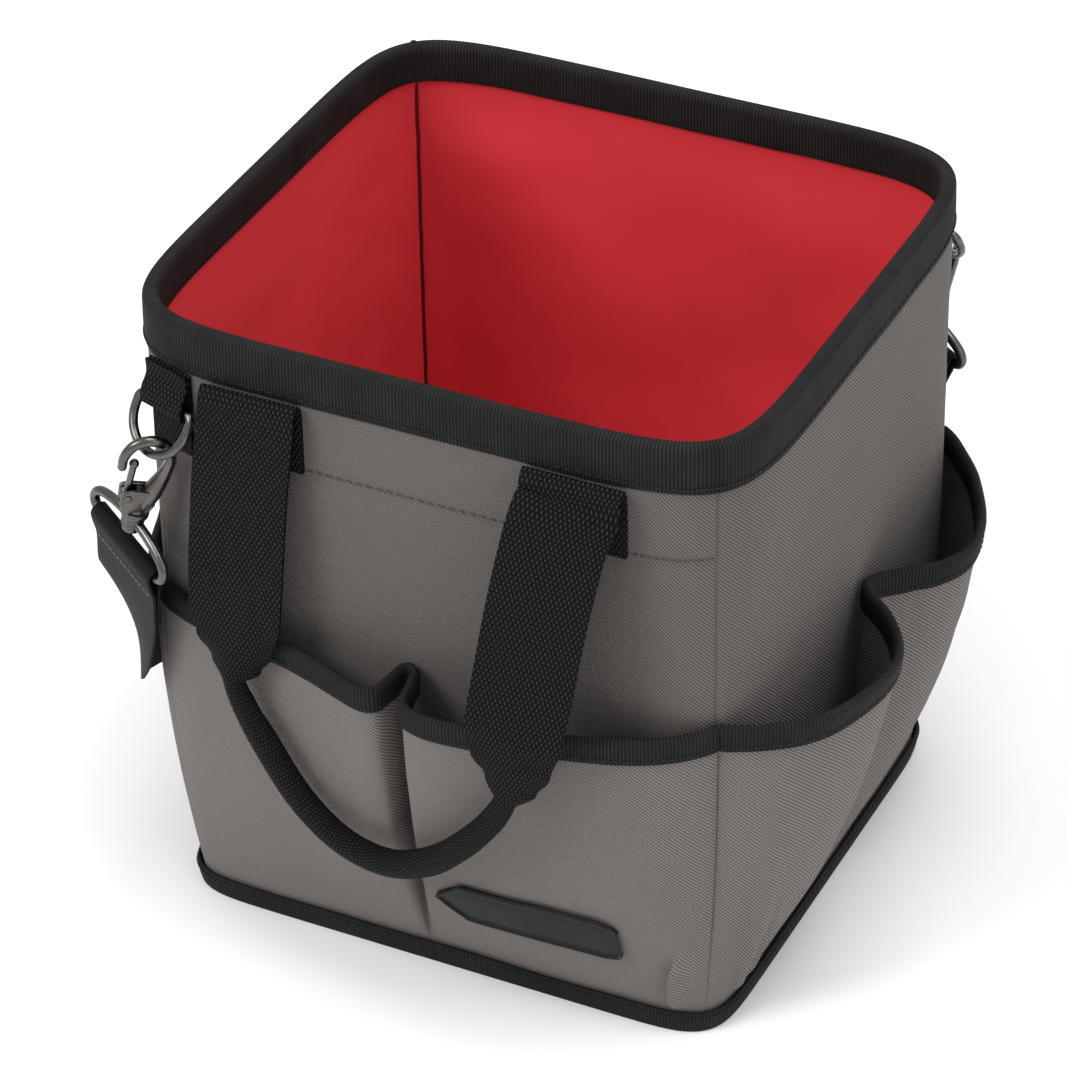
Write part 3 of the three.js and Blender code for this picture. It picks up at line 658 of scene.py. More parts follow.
@dataclass
class Walls:
    """The four padded walls with their sewn rows, the lining, and the floor."""

    foot: float = 3.3
    top: float = 300.3
    thickness: float = 2.3
    fold_height: float = 247.0
    stitch_rise: float = 1.4
    stitch_pitch: float = 3.2
    tape_foot: float = 285.0
    lining_foot: float = 4.0
    lining_stand: float = -3.9
    lining_thickness: float = 1.1
    seam_foot: float = 6.0
    seam_width: float = 1.5
    floor_height: float = 4.6
    floor_stand: float = -2.6
    floor_thickness: float = 1.0
    board_thickness: float = 3.0
    board_stand: float = 1.7
    wall_cells: Cells = (64, 72)
    lining_cells: Cells = (48, 48)
    seam_cells: Cells = (4, 90)
    floor_cells: Cells = (40, 40)

    def wall_point(self, side: Side, along: float, up: float) -> Vector:
        """The outer cloth, padded between its seams."""
        z = mix(self.foot, self.top, up)
        share = math.sin((along - 0.5) * math.pi)
        rest = FORM.point(side, share, z)
        under_rim = ease(300, 276, z)
        loose = ease(1.0, 0.9, abs(share)) * ease(0, 25, z) * under_rim
        seed = 3.7 * side.number
        wave = 0.55 + 0.5 * ripple(rest, 58, seed) + 0.25 * ripple(rest, 21, seed + 9)
        stand = loose * clamp(wave, -0.1, 1.3) - 0.7 * ease(0.992, 1.0, abs(share))
        stand += 0.7 * bump(-0.972, 0.014, share) * under_rim
        if side in (Side.FRONT, Side.BACK):
            fold = self.fold_height
            pucker = 0.25 * ripple(rest, 7, seed) * bump(fold, 9, z)
            stand += pucker - 0.75 * bump(fold - 0.6, 1.1, z)
            stand += 0.35 * ease(fold - 1, fold + 1, z) * ease(282, 276, z)
        return FORM.point(side, share, z, clamp(stand, -0.7, 1.5))

    def stitch_point(self, side: Side, share: float) -> Vector:
        """The row of thread above the fold across a wall."""
        up = (self.fold_height + self.stitch_rise - self.foot) / (self.top - self.foot)
        ox, oy = side.value[1]
        return self.wall_point(side, mix(0.03, 0.97, share), up) + Vector((ox, oy, 0)) * 0.12

    def lining_point(self, side: Side, along: float, up: float) -> Vector:
        """The lining's inner face, slack below the rim's tape, from right to left to face inwards."""
        z = mix(self.lining_foot, self.top, up)
        share = -math.sin((along - 0.5) * math.pi)
        rest = FORM.point(side, share, z)
        below_tape = ease(self.tape_foot - 2, self.tape_foot - 40, z)
        free = below_tape * ease(1.0, 0.93, abs(share)) * ease(5, 30, z)
        seed = 5.1 * side.number
        slack = 1.7 + 2.2 * ripple(rest, 70, seed) + 0.8 * ripple(rest, 26, seed)
        drawn_in = ease(0.985, 1.0, abs(share)) * ease(self.tape_foot, self.tape_foot - 10, z)
        return FORM.point(side, share, z, self.lining_stand + drawn_in - free * clamp(slack, 0.0, 4.5))

    def seam_point(self, side: Side, along: float, up: float) -> Vector:
        """The lining's seam in the corner at the end of a side, with small puckers, finished dark as painted
        shade of its crease.
        """
        z = mix(self.seam_foot, self.tape_foot - 1, up)
        after = list(Side)[(side.number + 1) % 4]
        across = FORM.point(after, -0.96, z) - FORM.point(side, 0.96, z)
        pucker = 0.5 * ripple(Vector((0, 0, z)), 9, 4.4)
        centre = FORM.point(side, 1.0, z, self.lining_stand + 0.5)
        return centre + across.normalized() * ((0.5 - along) * self.seam_width + pucker)

    def floor_point(self, z: float, stand: float, along: float, up: float) -> Vector:
        """A flat floor with the bag's plan, its rows closer together at the rounded corners."""
        half_width, half_depth = (half + stand for half in FORM.base_half)
        y = math.sin((up - 0.5) * math.pi) * 0.9999
        x = (1 - abs(y) ** FORM.base_squareness) ** (1 / FORM.base_squareness)
        return Vector(((along * 2 - 1) * x * half_width, y * half_depth, z))

    def lining_floor_point(self, along: float, up: float) -> Vector:
        """The lining's floor, a little uneven."""
        z = self.floor_height + 0.5 * ripple(Vector((along * 240, up * 230, 0)), 40, 2)
        return self.floor_point(z, self.floor_stand, along, up)

    def build_side(self, finishes: Finishes, side: Side) -> None:
        """Builds and dresses one wall, its lining and the lining's corner seam."""
        label = side.label
        wall = cut_cloth(f"wall_{label}", self.wall_cells, partial(self.wall_point, side))
        thicken(wall, self.thickness, -1)
        dress(wall, finishes.twill, "twill", f"{label}_panel")
        cloth = cut_cloth(f"lining_cloth_{label}", self.lining_cells, partial(self.lining_point, side))
        thicken(cloth, self.lining_thickness, -1)
        dress(cloth, finishes.lining, "lining", f"lining_{label}")
        seam = cut_cloth(f"lining_seam_{label}", self.seam_cells, partial(self.seam_point, side))
        thicken(seam, 0.6, 0, 0.1)
        # The seam strip's dark finish is painted shade in the lining's corner.
        dress(seam, finishes.seam, "lining")

    def build(self, finishes: Finishes) -> None:
        """Builds and dresses walls, lining and floors."""
        for side in Side:
            self.build_side(finishes, side)
        floor = cut_cloth("lining_cloth_floor", self.floor_cells, self.lining_floor_point)
        thicken(floor, self.floor_thickness, -1)
        dress(floor, finishes.lining, "lining", "lining_floor")
        board_point = partial(self.floor_point, self.board_thickness, self.board_stand)
        board = cut_cloth("base_board", self.floor_cells, board_point)
        thicken(board, self.board_thickness, -1, 0.6)
        dress(board, finishes.tape, "tape", "base_panel")

    def sew(self, finishes: Finishes) -> None:
        """Sews the rows across the front and back walls."""
        for side in (Side.FRONT, Side.BACK):
            row = partial(self.stitch_point, side)
            name = f"seam_stitches_{side.label}"
            stitch_row(name, row, finishes.grey_thread, "twill", self.stitch_pitch, 0.28)


@dataclass
class EdgeTapes:
    """The tapes over the rim and round the base."""

    thickness: float = 1.2
    turn_cells: int = 260
    outer_foot: float = 280.0
    inner_foot: float = 284.0
    out_stand: float = 0.95
    in_stand: float = -4.85
    join_turn: float = 0.742
    join_length: float = 0.015
    base_stand: float = 3.7
    base_foot: float = 0.4
    base_height: float = 11.0
    base_thickness: float = 1.4
    stitch_inset: float = 2.6
    rim_pitch: float = 3.41
    base_pitch: float = 3.39

    def __post_init__(self) -> None:
        """Lays the section of the rim's tape, from its outer to its inner edge."""
        self.rim_section = section_curve(
            (
                (self.out_stand, self.outer_foot),
                (self.out_stand + 0.25, 287.0),
                (self.out_stand + 0.1, 296.0),
                (self.out_stand - 0.15, 300.0),
                (self.out_stand - 1.3, 301.3),
                (-2.0, 301.5),
                (self.in_stand + 1.2, 301.2),
                (self.in_stand + 0.1, 299.6),
                (self.in_stand - 0.2, 295.0),
                (self.in_stand, self.inner_foot),
            )
        )

    def rim_point(self, along: float, up: float) -> Vector:
        """The rim's tape, with the step where its end laps over its start."""
        stand, z, _ = self.rim_section.at(up)
        rest = FORM.around(along, z, stand)
        join_end = self.join_turn + self.join_length
        lap = ease(self.join_turn - 0.001, self.join_turn, along) * ease(join_end + 0.001, join_end, along)
        outwards = 1 if up < 0.5 else -1
        top = bump(0.5, 0.12, up)
        sway = 0.5 * ripple(rest, 60, 4.0) + 0.25 * ripple(rest, 18, 7.0)
        edge = 0.5 * ripple(Vector((rest.x, rest.y, 0)), 30, 1.3) * (abs(up - 0.5) > 0.45)
        level = z + edge + top * (0.3 * sway - 0.3) + 0.4 * lap * top
        return FORM.around(along, level, stand + outwards * (0.8 * lap + 0.18 * abs(sway)))

    def base_point(self, along: float, up: float) -> Vector:
        """The tape round the base, with the soft wave of its upper edge."""
        z = mix(self.base_foot, self.base_height, up)
        rest = FORM.around(along, z, self.base_stand)
        wave = ripple(Vector((rest.x, rest.y, 0)), 34, 2.2)
        belly = 0.5 * math.sin(up * math.pi) + 0.25 * wave * up
        return FORM.around(along, z + wave * up**2, self.base_stand + belly)

    def build(self, finishes: Finishes) -> None:
        """Builds and dresses both tapes and sews them."""
        rim = cut_cloth("rim_tape", (self.turn_cells, 40), self.rim_point, closed=True)
        thicken(rim, self.thickness, 0, 0.25)
        dress(rim, finishes.tape, "tape", "rim_binding")
        base = cut_cloth("base_tape", (self.turn_cells, 10), self.base_point, closed=True)
        thicken(base, self.base_thickness, 0, 0.3)
        dress(base, finishes.tape, "tape", "base_binding")
        rim_row = partial(FORM.around, z=self.outer_foot + self.stitch_inset, stand=self.out_stand + 1.0)
        stitch_row("rim_stitches", rim_row, finishes.thread, "tape", self.rim_pitch)
        base_row = partial(FORM.around, z=self.base_height - self.stitch_inset, stand=self.base_stand + 1.25)
        stitch_row("base_stitches", base_row, finishes.thread, "tape", self.base_pitch)


@dataclass(frozen=True)
class Tuck:
    """A small fold in a pocket: its share along it, heights, width, reach out and lean."""

    share: float
    foot: float
    top: float
    width: float
    out: float
    lean: float = 0.0

    def height_at(self, z: float) -> float:
        """How much of the fold stands at a height, from 0 to 1."""
        shoulder = mix(self.foot, self.top, 0.45)
        return ease(self.foot - 6, self.foot + 4, z) * ease(self.top, shoulder, z)

    def profile(self, along: float) -> float:
        """The fold's section along the pocket, steep on its lower side."""
        return bump(self.share, self.width * (0.4 if along < self.share else 1.6), along)


@dataclass
class Pocket:
    """A pleated pocket on one side, with the tape over its mouth."""

    side: Side
    folds: tuple[Triple, ...]
    belly: float
    tucks: tuple[Tuck, ...] = ()
    foot: float = 3.3
    rise_foot: float = 12.0
    height: float = 168.0
    cloth_top: float = 166.6
    tape_foot: float = 156.0
    tape_top: float = 167.5
    tape_thickness: float = 1.0
    back_stand: float = 2.0
    clearance: float = 1.6
    pleat_rise: float = 0.62
    thickness: float = 1.3
    cells: Cells = (150, 56)

    def __post_init__(self) -> None:
        """Lays the folds' curve, and the tape's section from its outer to its inner edge."""
        self.curve = Spline([Vector((mouth, out, foot)) for mouth, foot, out in self.folds])
        inner = -(self.thickness + 0.8)
        shoulder = self.tape_top - 1.3
        self.tape_section = section_curve(
            (
                (0.8, self.tape_foot),
                (0.95, self.tape_foot + 6),
                (0.8, shoulder),
                (inner / 2 + 0.4, self.tape_top),
                (inner, shoulder),
                (inner, self.tape_foot),
            )
        )

    def face(self, along: float, z: float) -> Vector:
        """A point of the pocket's outer face at a share along it and a height in millimetres."""
        fold = self.curve.at(along)
        rise = max(z - self.rise_foot, 0) / (self.height - self.rise_foot)
        place = mix(fold.z, fold.x, rise)
        end = mix(self.folds[-1][1], self.folds[-1][0], rise)
        share = clamp(place / end, -1, 1)
        reach = max(fold.y, 0)
        sag = self.belly * math.sin(clamp(rise) * math.pi) * min(reach / 12, 1)
        fullness = rise ** mix(0.9, self.pleat_rise, bump(0.5, 0.13, along))
        stand = self.back_stand + (reach + self.clearance) * fullness + sag
        rest = FORM.point(self.side, share, z)
        free = ease(8, 30, z) * ease(self.height, self.height - 30, z) * min(reach / 8, 1)
        seed = 2.9 * self.side.number
        stand += free * (0.9 * ripple(rest, 46, seed) + 0.5 * ripple(rest, 19, seed + 3))
        for tuck in self.tucks:
            fold_height = tuck.height_at(z) * tuck.profile(along)
            stand += tuck.out * fold_height
            share -= tuck.lean * fold_height
        crease = 0.5 * ease(0.99, 1.0, abs(share)) * ease(10, 24, z)
        return FORM.point(self.side, share, z, max(stand, self.back_stand) - crease)

    def normal(self, along: float, z: float) -> Vector:
        """The outward direction of the pocket's face in plan."""
        step = 0.004
        run = self.face(min(along + step, 1), z) - self.face(max(along - step, 0), z)
        return Vector((run.y, -run.x, 0)).normalized()

    def off(self, along: float, z: float, distance: float, level: float | None = None) -> Vector:
        """A point at a distance out of the pocket's face, moved to another level if one is given."""
        point = self.face(along, z) + self.normal(along, z) * distance
        point.z = z if level is None else level
        return point

    def cloth_point(self, along: float, up: float) -> Vector:
        """The pocket's outer cloth."""
        return self.face(along, mix(self.foot, self.cloth_top, up))

    def tape_point(self, along: float, up: float) -> Vector:
        """The tape over the mouth."""
        out, z, _ = self.tape_section.at(up)
        wave = 0.35 * ripple(Vector((along * 300, 0, 0)), 14, 6.0)
        return self.off(along, clamp(z, 0, self.height - 1), out, z + wave)

    def stitch_point(self, share: float) -> Vector:
        """The row of thread along the tape's lower edge."""
        return self.off(0.006 + 0.988 * share, self.tape_foot + 2.2, 1.45)

    def build(self, finishes: Finishes) -> None:
        """Builds and dresses the pocket and its tape."""
        label = self.side.label
        cloth = cut_cloth(f"pocket_cloth_{label}", self.cells, self.cloth_point)
        thicken(cloth, self.thickness, -1)
        dress(cloth, finishes.pocket_twill_painted_light, "twill", f"{label}_pocket")
        tape = cut_cloth(f"pocket_tape_{label}", (self.cells[0], 18), self.tape_point)
        thicken(tape, self.tape_thickness, 0, 0.2)
        dress(tape, finishes.tape, "tape", f"{label}_pocket_binding")
        stitch_row(f"pocket_stitches_{label}", self.stitch_point, finishes.thread, "tape")


# Folds of the pockets: place along the wall at the mouth and at the foot, and reach out of the wall.
FRONT_FOLDS = (
    (-126.4, -121, 0), (-108, -106, 1.5), (-84, -82, 5), (-56, -54, 10), (-30, -29, 19), (-15, -14, 24),
    (-9, -9.5, 22), (-7, -6.6, 12), (-5, -5.4, 2), (-1.5, -4.2, 2), (1.5, -3, 12), (5, 0.5, 25), (14, 7, 30),
    (40, 36, 29), (72, 69, 20), (99, 96, 12), (114, 111, 6), (126.4, 121, 0),
)
RIGHT_FOLDS = (
    (-118.1, -113, 0), (-108, -105, 9), (-96, -94, 21), (-80, -80, 29), (-54, -54, 34), (-38, -38, 31),
    (-19, -20, 18), (-4.5, -5, 2), (1.5, 1, 2), (12, 12, 12), (22, 22, 23), (37, 37, 31), (58, 58, 29),
    (86, 84, 16), (105, 102, 5), (118.1, 113, 0),
)
LEFT_FOLDS = (
    (-118.1, -113, 0), (-90, -88, 9), (-52, -52, 19), (-24, -25, 14), (-4, -5, 2), (2, 1, 2), (24, 24, 14),
    (52, 52, 17), (84, 82, 7), (118.1, 113, 0),
)
FRONT_TUCKS = (Tuck(0.94, 15, 52, 0.012, 4.5, 0.024),)
RIGHT_TUCKS = (Tuck(0.09, 17, 120, 0.018, 3.6), Tuck(0.15, 17, 70, 0.012, 2.0))


@dataclass(frozen=True)
class Station:
    """A place on a band of webbing, the way its outer face looks, and the curl and girth of its grip."""

    place: Vector
    facing: Vector
    curl: float = 0.0
    girth: float = 1.0


@dataclass
class Band:
    """A band of webbing through stations."""

    name: str
    stations: list[Station]
    width: float
    thickness: float = 1.5
    across: int = 16
    per_station: int = 9
    grip: Pair = (5.8, 4.4)
    grip_turn: float = math.radians(300)

    def __post_init__(self) -> None:
        """Lays the curves of the band."""
        self.path = Spline([s.place for s in self.stations])
        self.facings = Spline([s.facing for s in self.stations])

    def section(self, share: float, curl: float, girth: float) -> Pair:
        """Place across the band and out of it, from -0.5 to 0.5 across."""
        turn = share * self.grip_turn
        flat = share * self.width
        across = mix(flat, girth * self.grip[0] * math.sin(turn), curl)
        return across, curl * girth * self.grip[1] * (math.cos(turn) - 1)

    def axes(self, share: float) -> tuple[Vector, Vector, Vector]:
        """Place, sideways and outward directions at a share along the band."""
        run = self.path.tangent(share)
        sideways = run.cross(self.facings.at(share)).normalized()
        return self.path.at(share), sideways, sideways.cross(run).normalized()

    def point(self, across: float, along: float) -> Vector:
        """A point of the band's middle surface."""
        place = along * (len(self.stations) - 1)
        before = min(int(place), len(self.stations) - 2)
        here, after = self.stations[before : before + 2]
        part = ease(0, 1, place - before)
        curl = mix(here.curl, after.curl, part)
        girth = mix(here.girth, after.girth, part)
        centre, sideways, outward = self.axes(along)
        x, y = self.section(across - 0.5, curl, girth)
        return centre + sideways * x + outward * y

    def build(self, material: Material, slot: str, *nodes: str) -> None:
        """Builds and dresses the band."""
        rows = (len(self.stations) - 1) * self.per_station
        piece = cut_cloth(self.name, (self.across, rows), self.point, row_at=0.0)
        thicken(piece, self.thickness, 0)
        dress(piece, material, slot, *nodes)


def tilted(degrees: float) -> Vector:
    """A direction across the front wall: 0 looks out of it, 90 up, 180 into the bag."""
    tilt = math.radians(degrees)
    return Vector((0, -math.cos(tilt), math.sin(tilt)))


def loop_radius(wire: float) -> float:
    """Radius of the middle of webbing that goes round a wire with a little slack."""
    slack = 0.3
    half_webbing = 0.8
    return wire + slack + half_webbing


# The hanging part of a handle: place along the wall, height, swing out, curl and girth of the grip.
HANDLE_STATIONS = (
    (-74.5, 245, 2.4, 0, 1), (-76, 205, 7.4, 0, 1), (-76.5, 180, 10.5, 0.03, 1.2),
    (-77.2, 166, 12.1, 0.22, 1.2), (-78.1, 154, 13, 0.58, 1.1), (-78.5, 146, 13.3, 1, 0.72),
    (-74, 134, 14, 1, 0.85), (-65, 118, 14.8, 1, 1), (-48, 94, 16, 1, 1), (-29, 80, 17.4, 1, 1),
    (-8, 77.5, 20, 1, 1), (14, 88, 25, 1, 1), (33, 106, 29, 1, 0.9), (48, 125, 31, 1, 0.82),
    (55.5, 139, 32, 1, 0.72), (57.5, 147, 32, 0.58, 1.1), (59, 160, 31.8, 0.22, 1.2),
    (60.2, 174, 30.4, 0.03, 1.2), (62, 192, 25.4, 0, 1), (66, 232, 15.4, 0, 1), (70, 262, 5.4, 0, 1),
)


@dataclass
class Handle:
    """A webbing handle: two sewn ends folded over and a hanging grip."""

    name: str
    node: str
    turned: bool
    swing: float
    grip_swing: float
    centre: float = 72.0
    sewn_foot: float = 247.0
    fold_top: float = 281.0
    width: float = 43.5
    stand: float = 1.5

    def end(self, x: float) -> list[Station]:
        """Stations of a sewn end up to its fold and over it."""
        wall = -FORM.rim_half[1] - self.stand
        rows = (
            (0, self.sewn_foot, 180), (0, self.fold_top - 10, 180), (1, self.fold_top - 3, 150),
            (3.7, self.fold_top - 0.8, 90), (6.3, self.fold_top - 4, 30), (7.3, self.fold_top - 10, 0),
        )
        return [Station(Vector((x, wall - out, z)), tilted(tilt)) for out, z, tilt in rows]

    def hanging(self) -> list[Station]:
        """Stations of the part that hangs between the folds."""
        fold_plane = self.end(self.centre)[-1].place.y
        stations = []
        for x, z, swing, curl, girth in HANDLE_STATIONS:
            y = fold_plane - swing * self.swing - curl * self.grip_swing
            stations.append(Station(Vector((x, y, z)), tilted(0), curl, girth))
        return stations

    def build(self, finishes: Finishes) -> None:
        """Builds and dresses the handle."""
        stations = [*self.end(-self.centre), *self.hanging(), *reversed(self.end(self.centre))]
        if self.turned:
            turn = Matrix.Rotation(math.pi, 3, "Z")
            stations = [Station(turn @ s.place, turn @ s.facing, s.curl, s.girth) for s in stations]
        Band(self.name, stations, self.width).build(finishes.webbing, "webbing", self.node)


@dataclass(frozen=True)
class CornerRig:
    """Where a ring, hook and eye sit, at the front left corner or turned to the back right one."""

    turned: bool
    hook_turn: float
    hook_pitch: float
    hook_lean: float
    eye_turn: float
    strap_swing: float
    along: float = -113.0
    bar: Pair = (4.2, 262.0)
    swing: float = math.radians(-30)
    drop: float = 21.5
    seat: float = 33.0

    def end(self) -> Matrix:
        """The half turn of the back rig, or none."""
        return Matrix.Rotation(math.pi if self.turned else 0.0, 4, "Z")

    def front_mount(self) -> Matrix:
        """The tab's frame on the front wall."""
        half_along, _, _, corner = FORM.section(Side.FRONT, self.bar[1])
        share = self.along / (half_along * corner)
        seat = FORM.point(Side.FRONT, share, self.bar[1])
        out = FORM.point(Side.FRONT, share, self.bar[1], 1.0) - seat
        turn = Matrix.Rotation(math.atan2(out.x, -out.y), 4, "Z")
        return Matrix.Translation((seat.x, seat.y, 0)) @ turn

    def front_ring(self) -> Matrix:
        """The ring's frame at its bar on the front wall."""
        place = Matrix.Translation((0, -self.bar[0], self.bar[1]))
        return self.front_mount() @ place @ Matrix.Rotation(self.swing, 4, "X")

    def mount(self) -> Matrix:
        """The tab's frame."""
        return self.end() @ self.front_mount()

    def ring(self) -> Matrix:
        """The ring's frame."""
        return self.end() @ self.front_ring()

    def hook(self) -> Matrix:
        """The hook's frame, at its collar."""
        bow = self.front_ring() @ Vector((0, 0, -self.drop))
        turn = Matrix.Rotation(self.hook_turn, 4, "Z") @ Matrix.Rotation(self.hook_pitch, 4, "X")
        turn = turn @ Matrix.Rotation(self.hook_lean, 4, "Y")
        return self.end() @ Matrix.Translation(bow) @ turn @ Matrix.Translation((0, 0, -self.seat))

    def eye(self) -> Matrix:
        """The eye's frame, turned on the hook's axis."""
        return self.hook() @ Matrix.Rotation(self.eye_turn, 4, "Z")


FRONT_RIG = CornerRig(False, *(math.radians(v) for v in (36.9, 12, 12, -64.8, 14)))
BACK_RIG = CornerRig(True, *(math.radians(v) for v in (62, -17.2, 1.1, -82, 8)))


class MetalShop:
    """Makes wires, pins and plates, and puts several together as one piece."""

    def __init__(self) -> None:
        """Starts an empty piece."""
        self.shape = bmesh.new()

    def wire(
        self, points: Sequence[Vector], radius: float, closed: bool, radii: Sequence[float] | None = None
    ) -> None:
        """Adds a bent round wire.

        Args:
            points: The wire's middle line in millimetres.
            radius: Half the wire's thickness.
            closed: Whether the wire is a ring.
            radii: A factor on the radius at each point.
        """
        curve = bpy.data.curves.new("wire", "CURVE")
        curve.dimensions = "3D"
        curve.bevel_depth = radius * MM
        curve.bevel_resolution = 6
        curve.use_fill_caps = True
        spline = curve.splines.new("POLY")
        spline.points.add(len(points) - 1)
        for i, (spot, point) in enumerate(zip(spline.points, points)):
            spot.co = (*(point * MM), 1.0)
            spot.radius = radii[i] if radii else 1.0
        spline.use_cyclic_u = closed
        holder = bpy.data.objects.new("wire", curve)
        bpy.context.scene.collection.objects.link(holder)
        mesh = bpy.data.meshes.new_from_object(holder.evaluated_get(bpy.context.evaluated_depsgraph_get()))
        self.shape.from_mesh(mesh)
        bpy.data.objects.remove(holder)
        bpy.data.curves.remove(curve)
        bpy.data.meshes.remove(mesh)

    def soften(self, edges: Iterable[bmesh.types.BMEdge], width: float, clamp_overlap: bool) -> None:
        """Rounds edges of the piece by a width in millimetres."""
        bmesh.ops.bevel(
            self.shape,
            geom=list(edges),
            offset=width * MM,
            segments=3,
            profile=0.5,
            affect="EDGES",
            material=-1,
            clamp_overlap=clamp_overlap,
        )

    def pin(self, radius: float, start: Vector, end: Vector, edge: float) -> None:
        """Adds a round pin with softened ends."""
        verts = add_rod(self.shape, radius, start, end, 32)
        caps = [face for vert in verts for face in vert.link_faces if len(face.verts) > 4]
        self.soften(dict.fromkeys(rim for cap in caps for rim in cap.edges), edge, False)

    def ball(self, radius: float, centre: Vector) -> None:
        """Adds a ball."""
        spot = Matrix.Translation(centre * MM)
        bmesh.ops.create_uvsphere(self.shape, u_segments=24, v_segments=16, radius=radius * MM, matrix=spot)

    def plate(self, outline: Sequence[Pair], low: float, high: float, edge: float) -> None:
        """Adds a plate with an outline in X and Z between two places along Y, with rounded edges."""
        corners = [self.shape.verts.new(Vector((x, low, z)) * MM) for x, z in outline]
        face = self.shape.faces.new(corners)
        made = bmesh.ops.extrude_face_region(self.shape, geom=[face])
        raised = [item for item in made["geom"] if isinstance(item, bmesh.types.BMVert)]
        bmesh.ops.translate(self.shape, verts=raised, vec=Vector((0, high - low, 0)) * MM)
        verts = [*corners, *raised]
        faces = dict.fromkeys(face for vert in verts for face in vert.link_faces)
        bmesh.ops.recalc_face_normals(self.shape, faces=list(faces))
        self.soften(dict.fromkeys(rim for vert in verts for rim in vert.link_edges), edge, True)

    def finish(self, name: str, frame_matrix: Matrix) -> Piece:
        """Puts the piece in its frame and into the scene."""
        scaled = Matrix.Translation(frame_matrix.translation * MM) @ frame_matrix.to_3x3().to_4x4()
        bmesh.ops.transform(self.shape, matrix=scaled, verts=self.shape.verts)
        bmesh.ops.recalc_face_normals(self.shape, faces=self.shape.faces)
        return to_object(name, self.shape)


def flat_points(rows: Sequence[Pair], count: int) -> list[Vector]:
    """Points along a smooth open curve through rows of X and Z."""
    curve = Spline([Vector((x, 0, z)) for x, z in rows])
    return [curve.at(i / (count - 1)) for i in range(count)]


def arc(centre: Pair, radius: float, start: float, end: float, count: int) -> list[Vector]:
    """Points of a round arc in X and Z, with angles in degrees."""
    angles = [math.radians(mix(start, end, i / (count - 1))) for i in range(count)]
    return [Vector((centre[0] + radius * math.cos(a), 0, centre[1] + radius * math.sin(a))) for a in angles]


@dataclass
class RingAndTab:
    """A D-shaped ring in its webbing tab."""

    rig: CornerRig
    where: str
    radius: float = 15.5
    corner: float = 3.0
    wire: float = 2.0
    tab_width: float = 24.0
    tab_top: float = 279.0
    stand: float = 1.1

    def ring_points(self) -> list[Vector]:
        """The ring's middle line: a straight bar above a round bow."""
        straight = self.rig.drop - self.radius
        side = self.radius - self.corner
        bar = [Vector((mix(-side, side, i / 8), 0, 0)) for i in range(9)]
        right = arc((side, -self.corner), self.corner, 90, 0, 7)[1:]
        bow = arc((0, -straight), self.radius, 0, -180, 40)
        left = arc((-side, -self.corner), self.corner, 180, 90, 7)[:-1]
        return [*bar, *right, *bow, *left]

    def band(self, name: str, width: float, thickness: float, rows: Sequence[Triple]) -> Band:
        """Webbing on the tab's mount, through rows of distance out, height and tilt."""
        mount = self.rig.mount()
        turn = mount.to_3x3()
        stations = [Station(mount @ Vector((0, -out, z)), turn @ tilted(tilt)) for out, z, tilt in rows]
        return Band(f"{name}_{self.where}", stations, width, thickness, across=10, per_station=8)

    def tab_band(self) -> Band:
        """The tab's webbing, round the ring's bar and sewn to the wall by its two plies."""
        stand, bar = self.rig.bar
        loop = loop_radius(self.wire)
        slant = loop * DIAGONAL
        front_ply = self.stand + 2
        rows = (
            (self.stand, self.tab_top, 180), (stand - loop, bar, 180), (stand - slant, bar - slant, 225),
            (stand, bar - loop, 270), (stand + slant, bar - slant, 315), (stand + loop, bar, 360),
            (stand + 1.8, bar + 5, 360), (front_ply, bar + 10, 360), (front_ply, self.tab_top, 360),
        )
        return self.band("tab", self.tab_width, 1.5, rows)

    def tail_band(self) -> Band:
        """The end of the tab's back ply, below the ring's bar."""
        return self.band("tab_tail", self.tab_width - 1, 1.3, ((1.0, 266, 0), (0.95, 254, 0), (1.3, 240, 0)))

    def build(self, finishes: Finishes) -> None:
        """Builds and dresses ring and tab."""
        self.tab_band().build(finishes.webbing, "webbing", f"ring_tab_{self.where}")
        if not self.rig.turned:
            self.tail_band().build(finishes.webbing, "webbing")
        shop = MetalShop()
        shop.wire(self.ring_points(), self.wire, True)
        ring = shop.finish(f"ring_{self.where}", self.rig.ring())
        dress(ring, finishes.steel, "steel", f"d_ring_{self.where}")


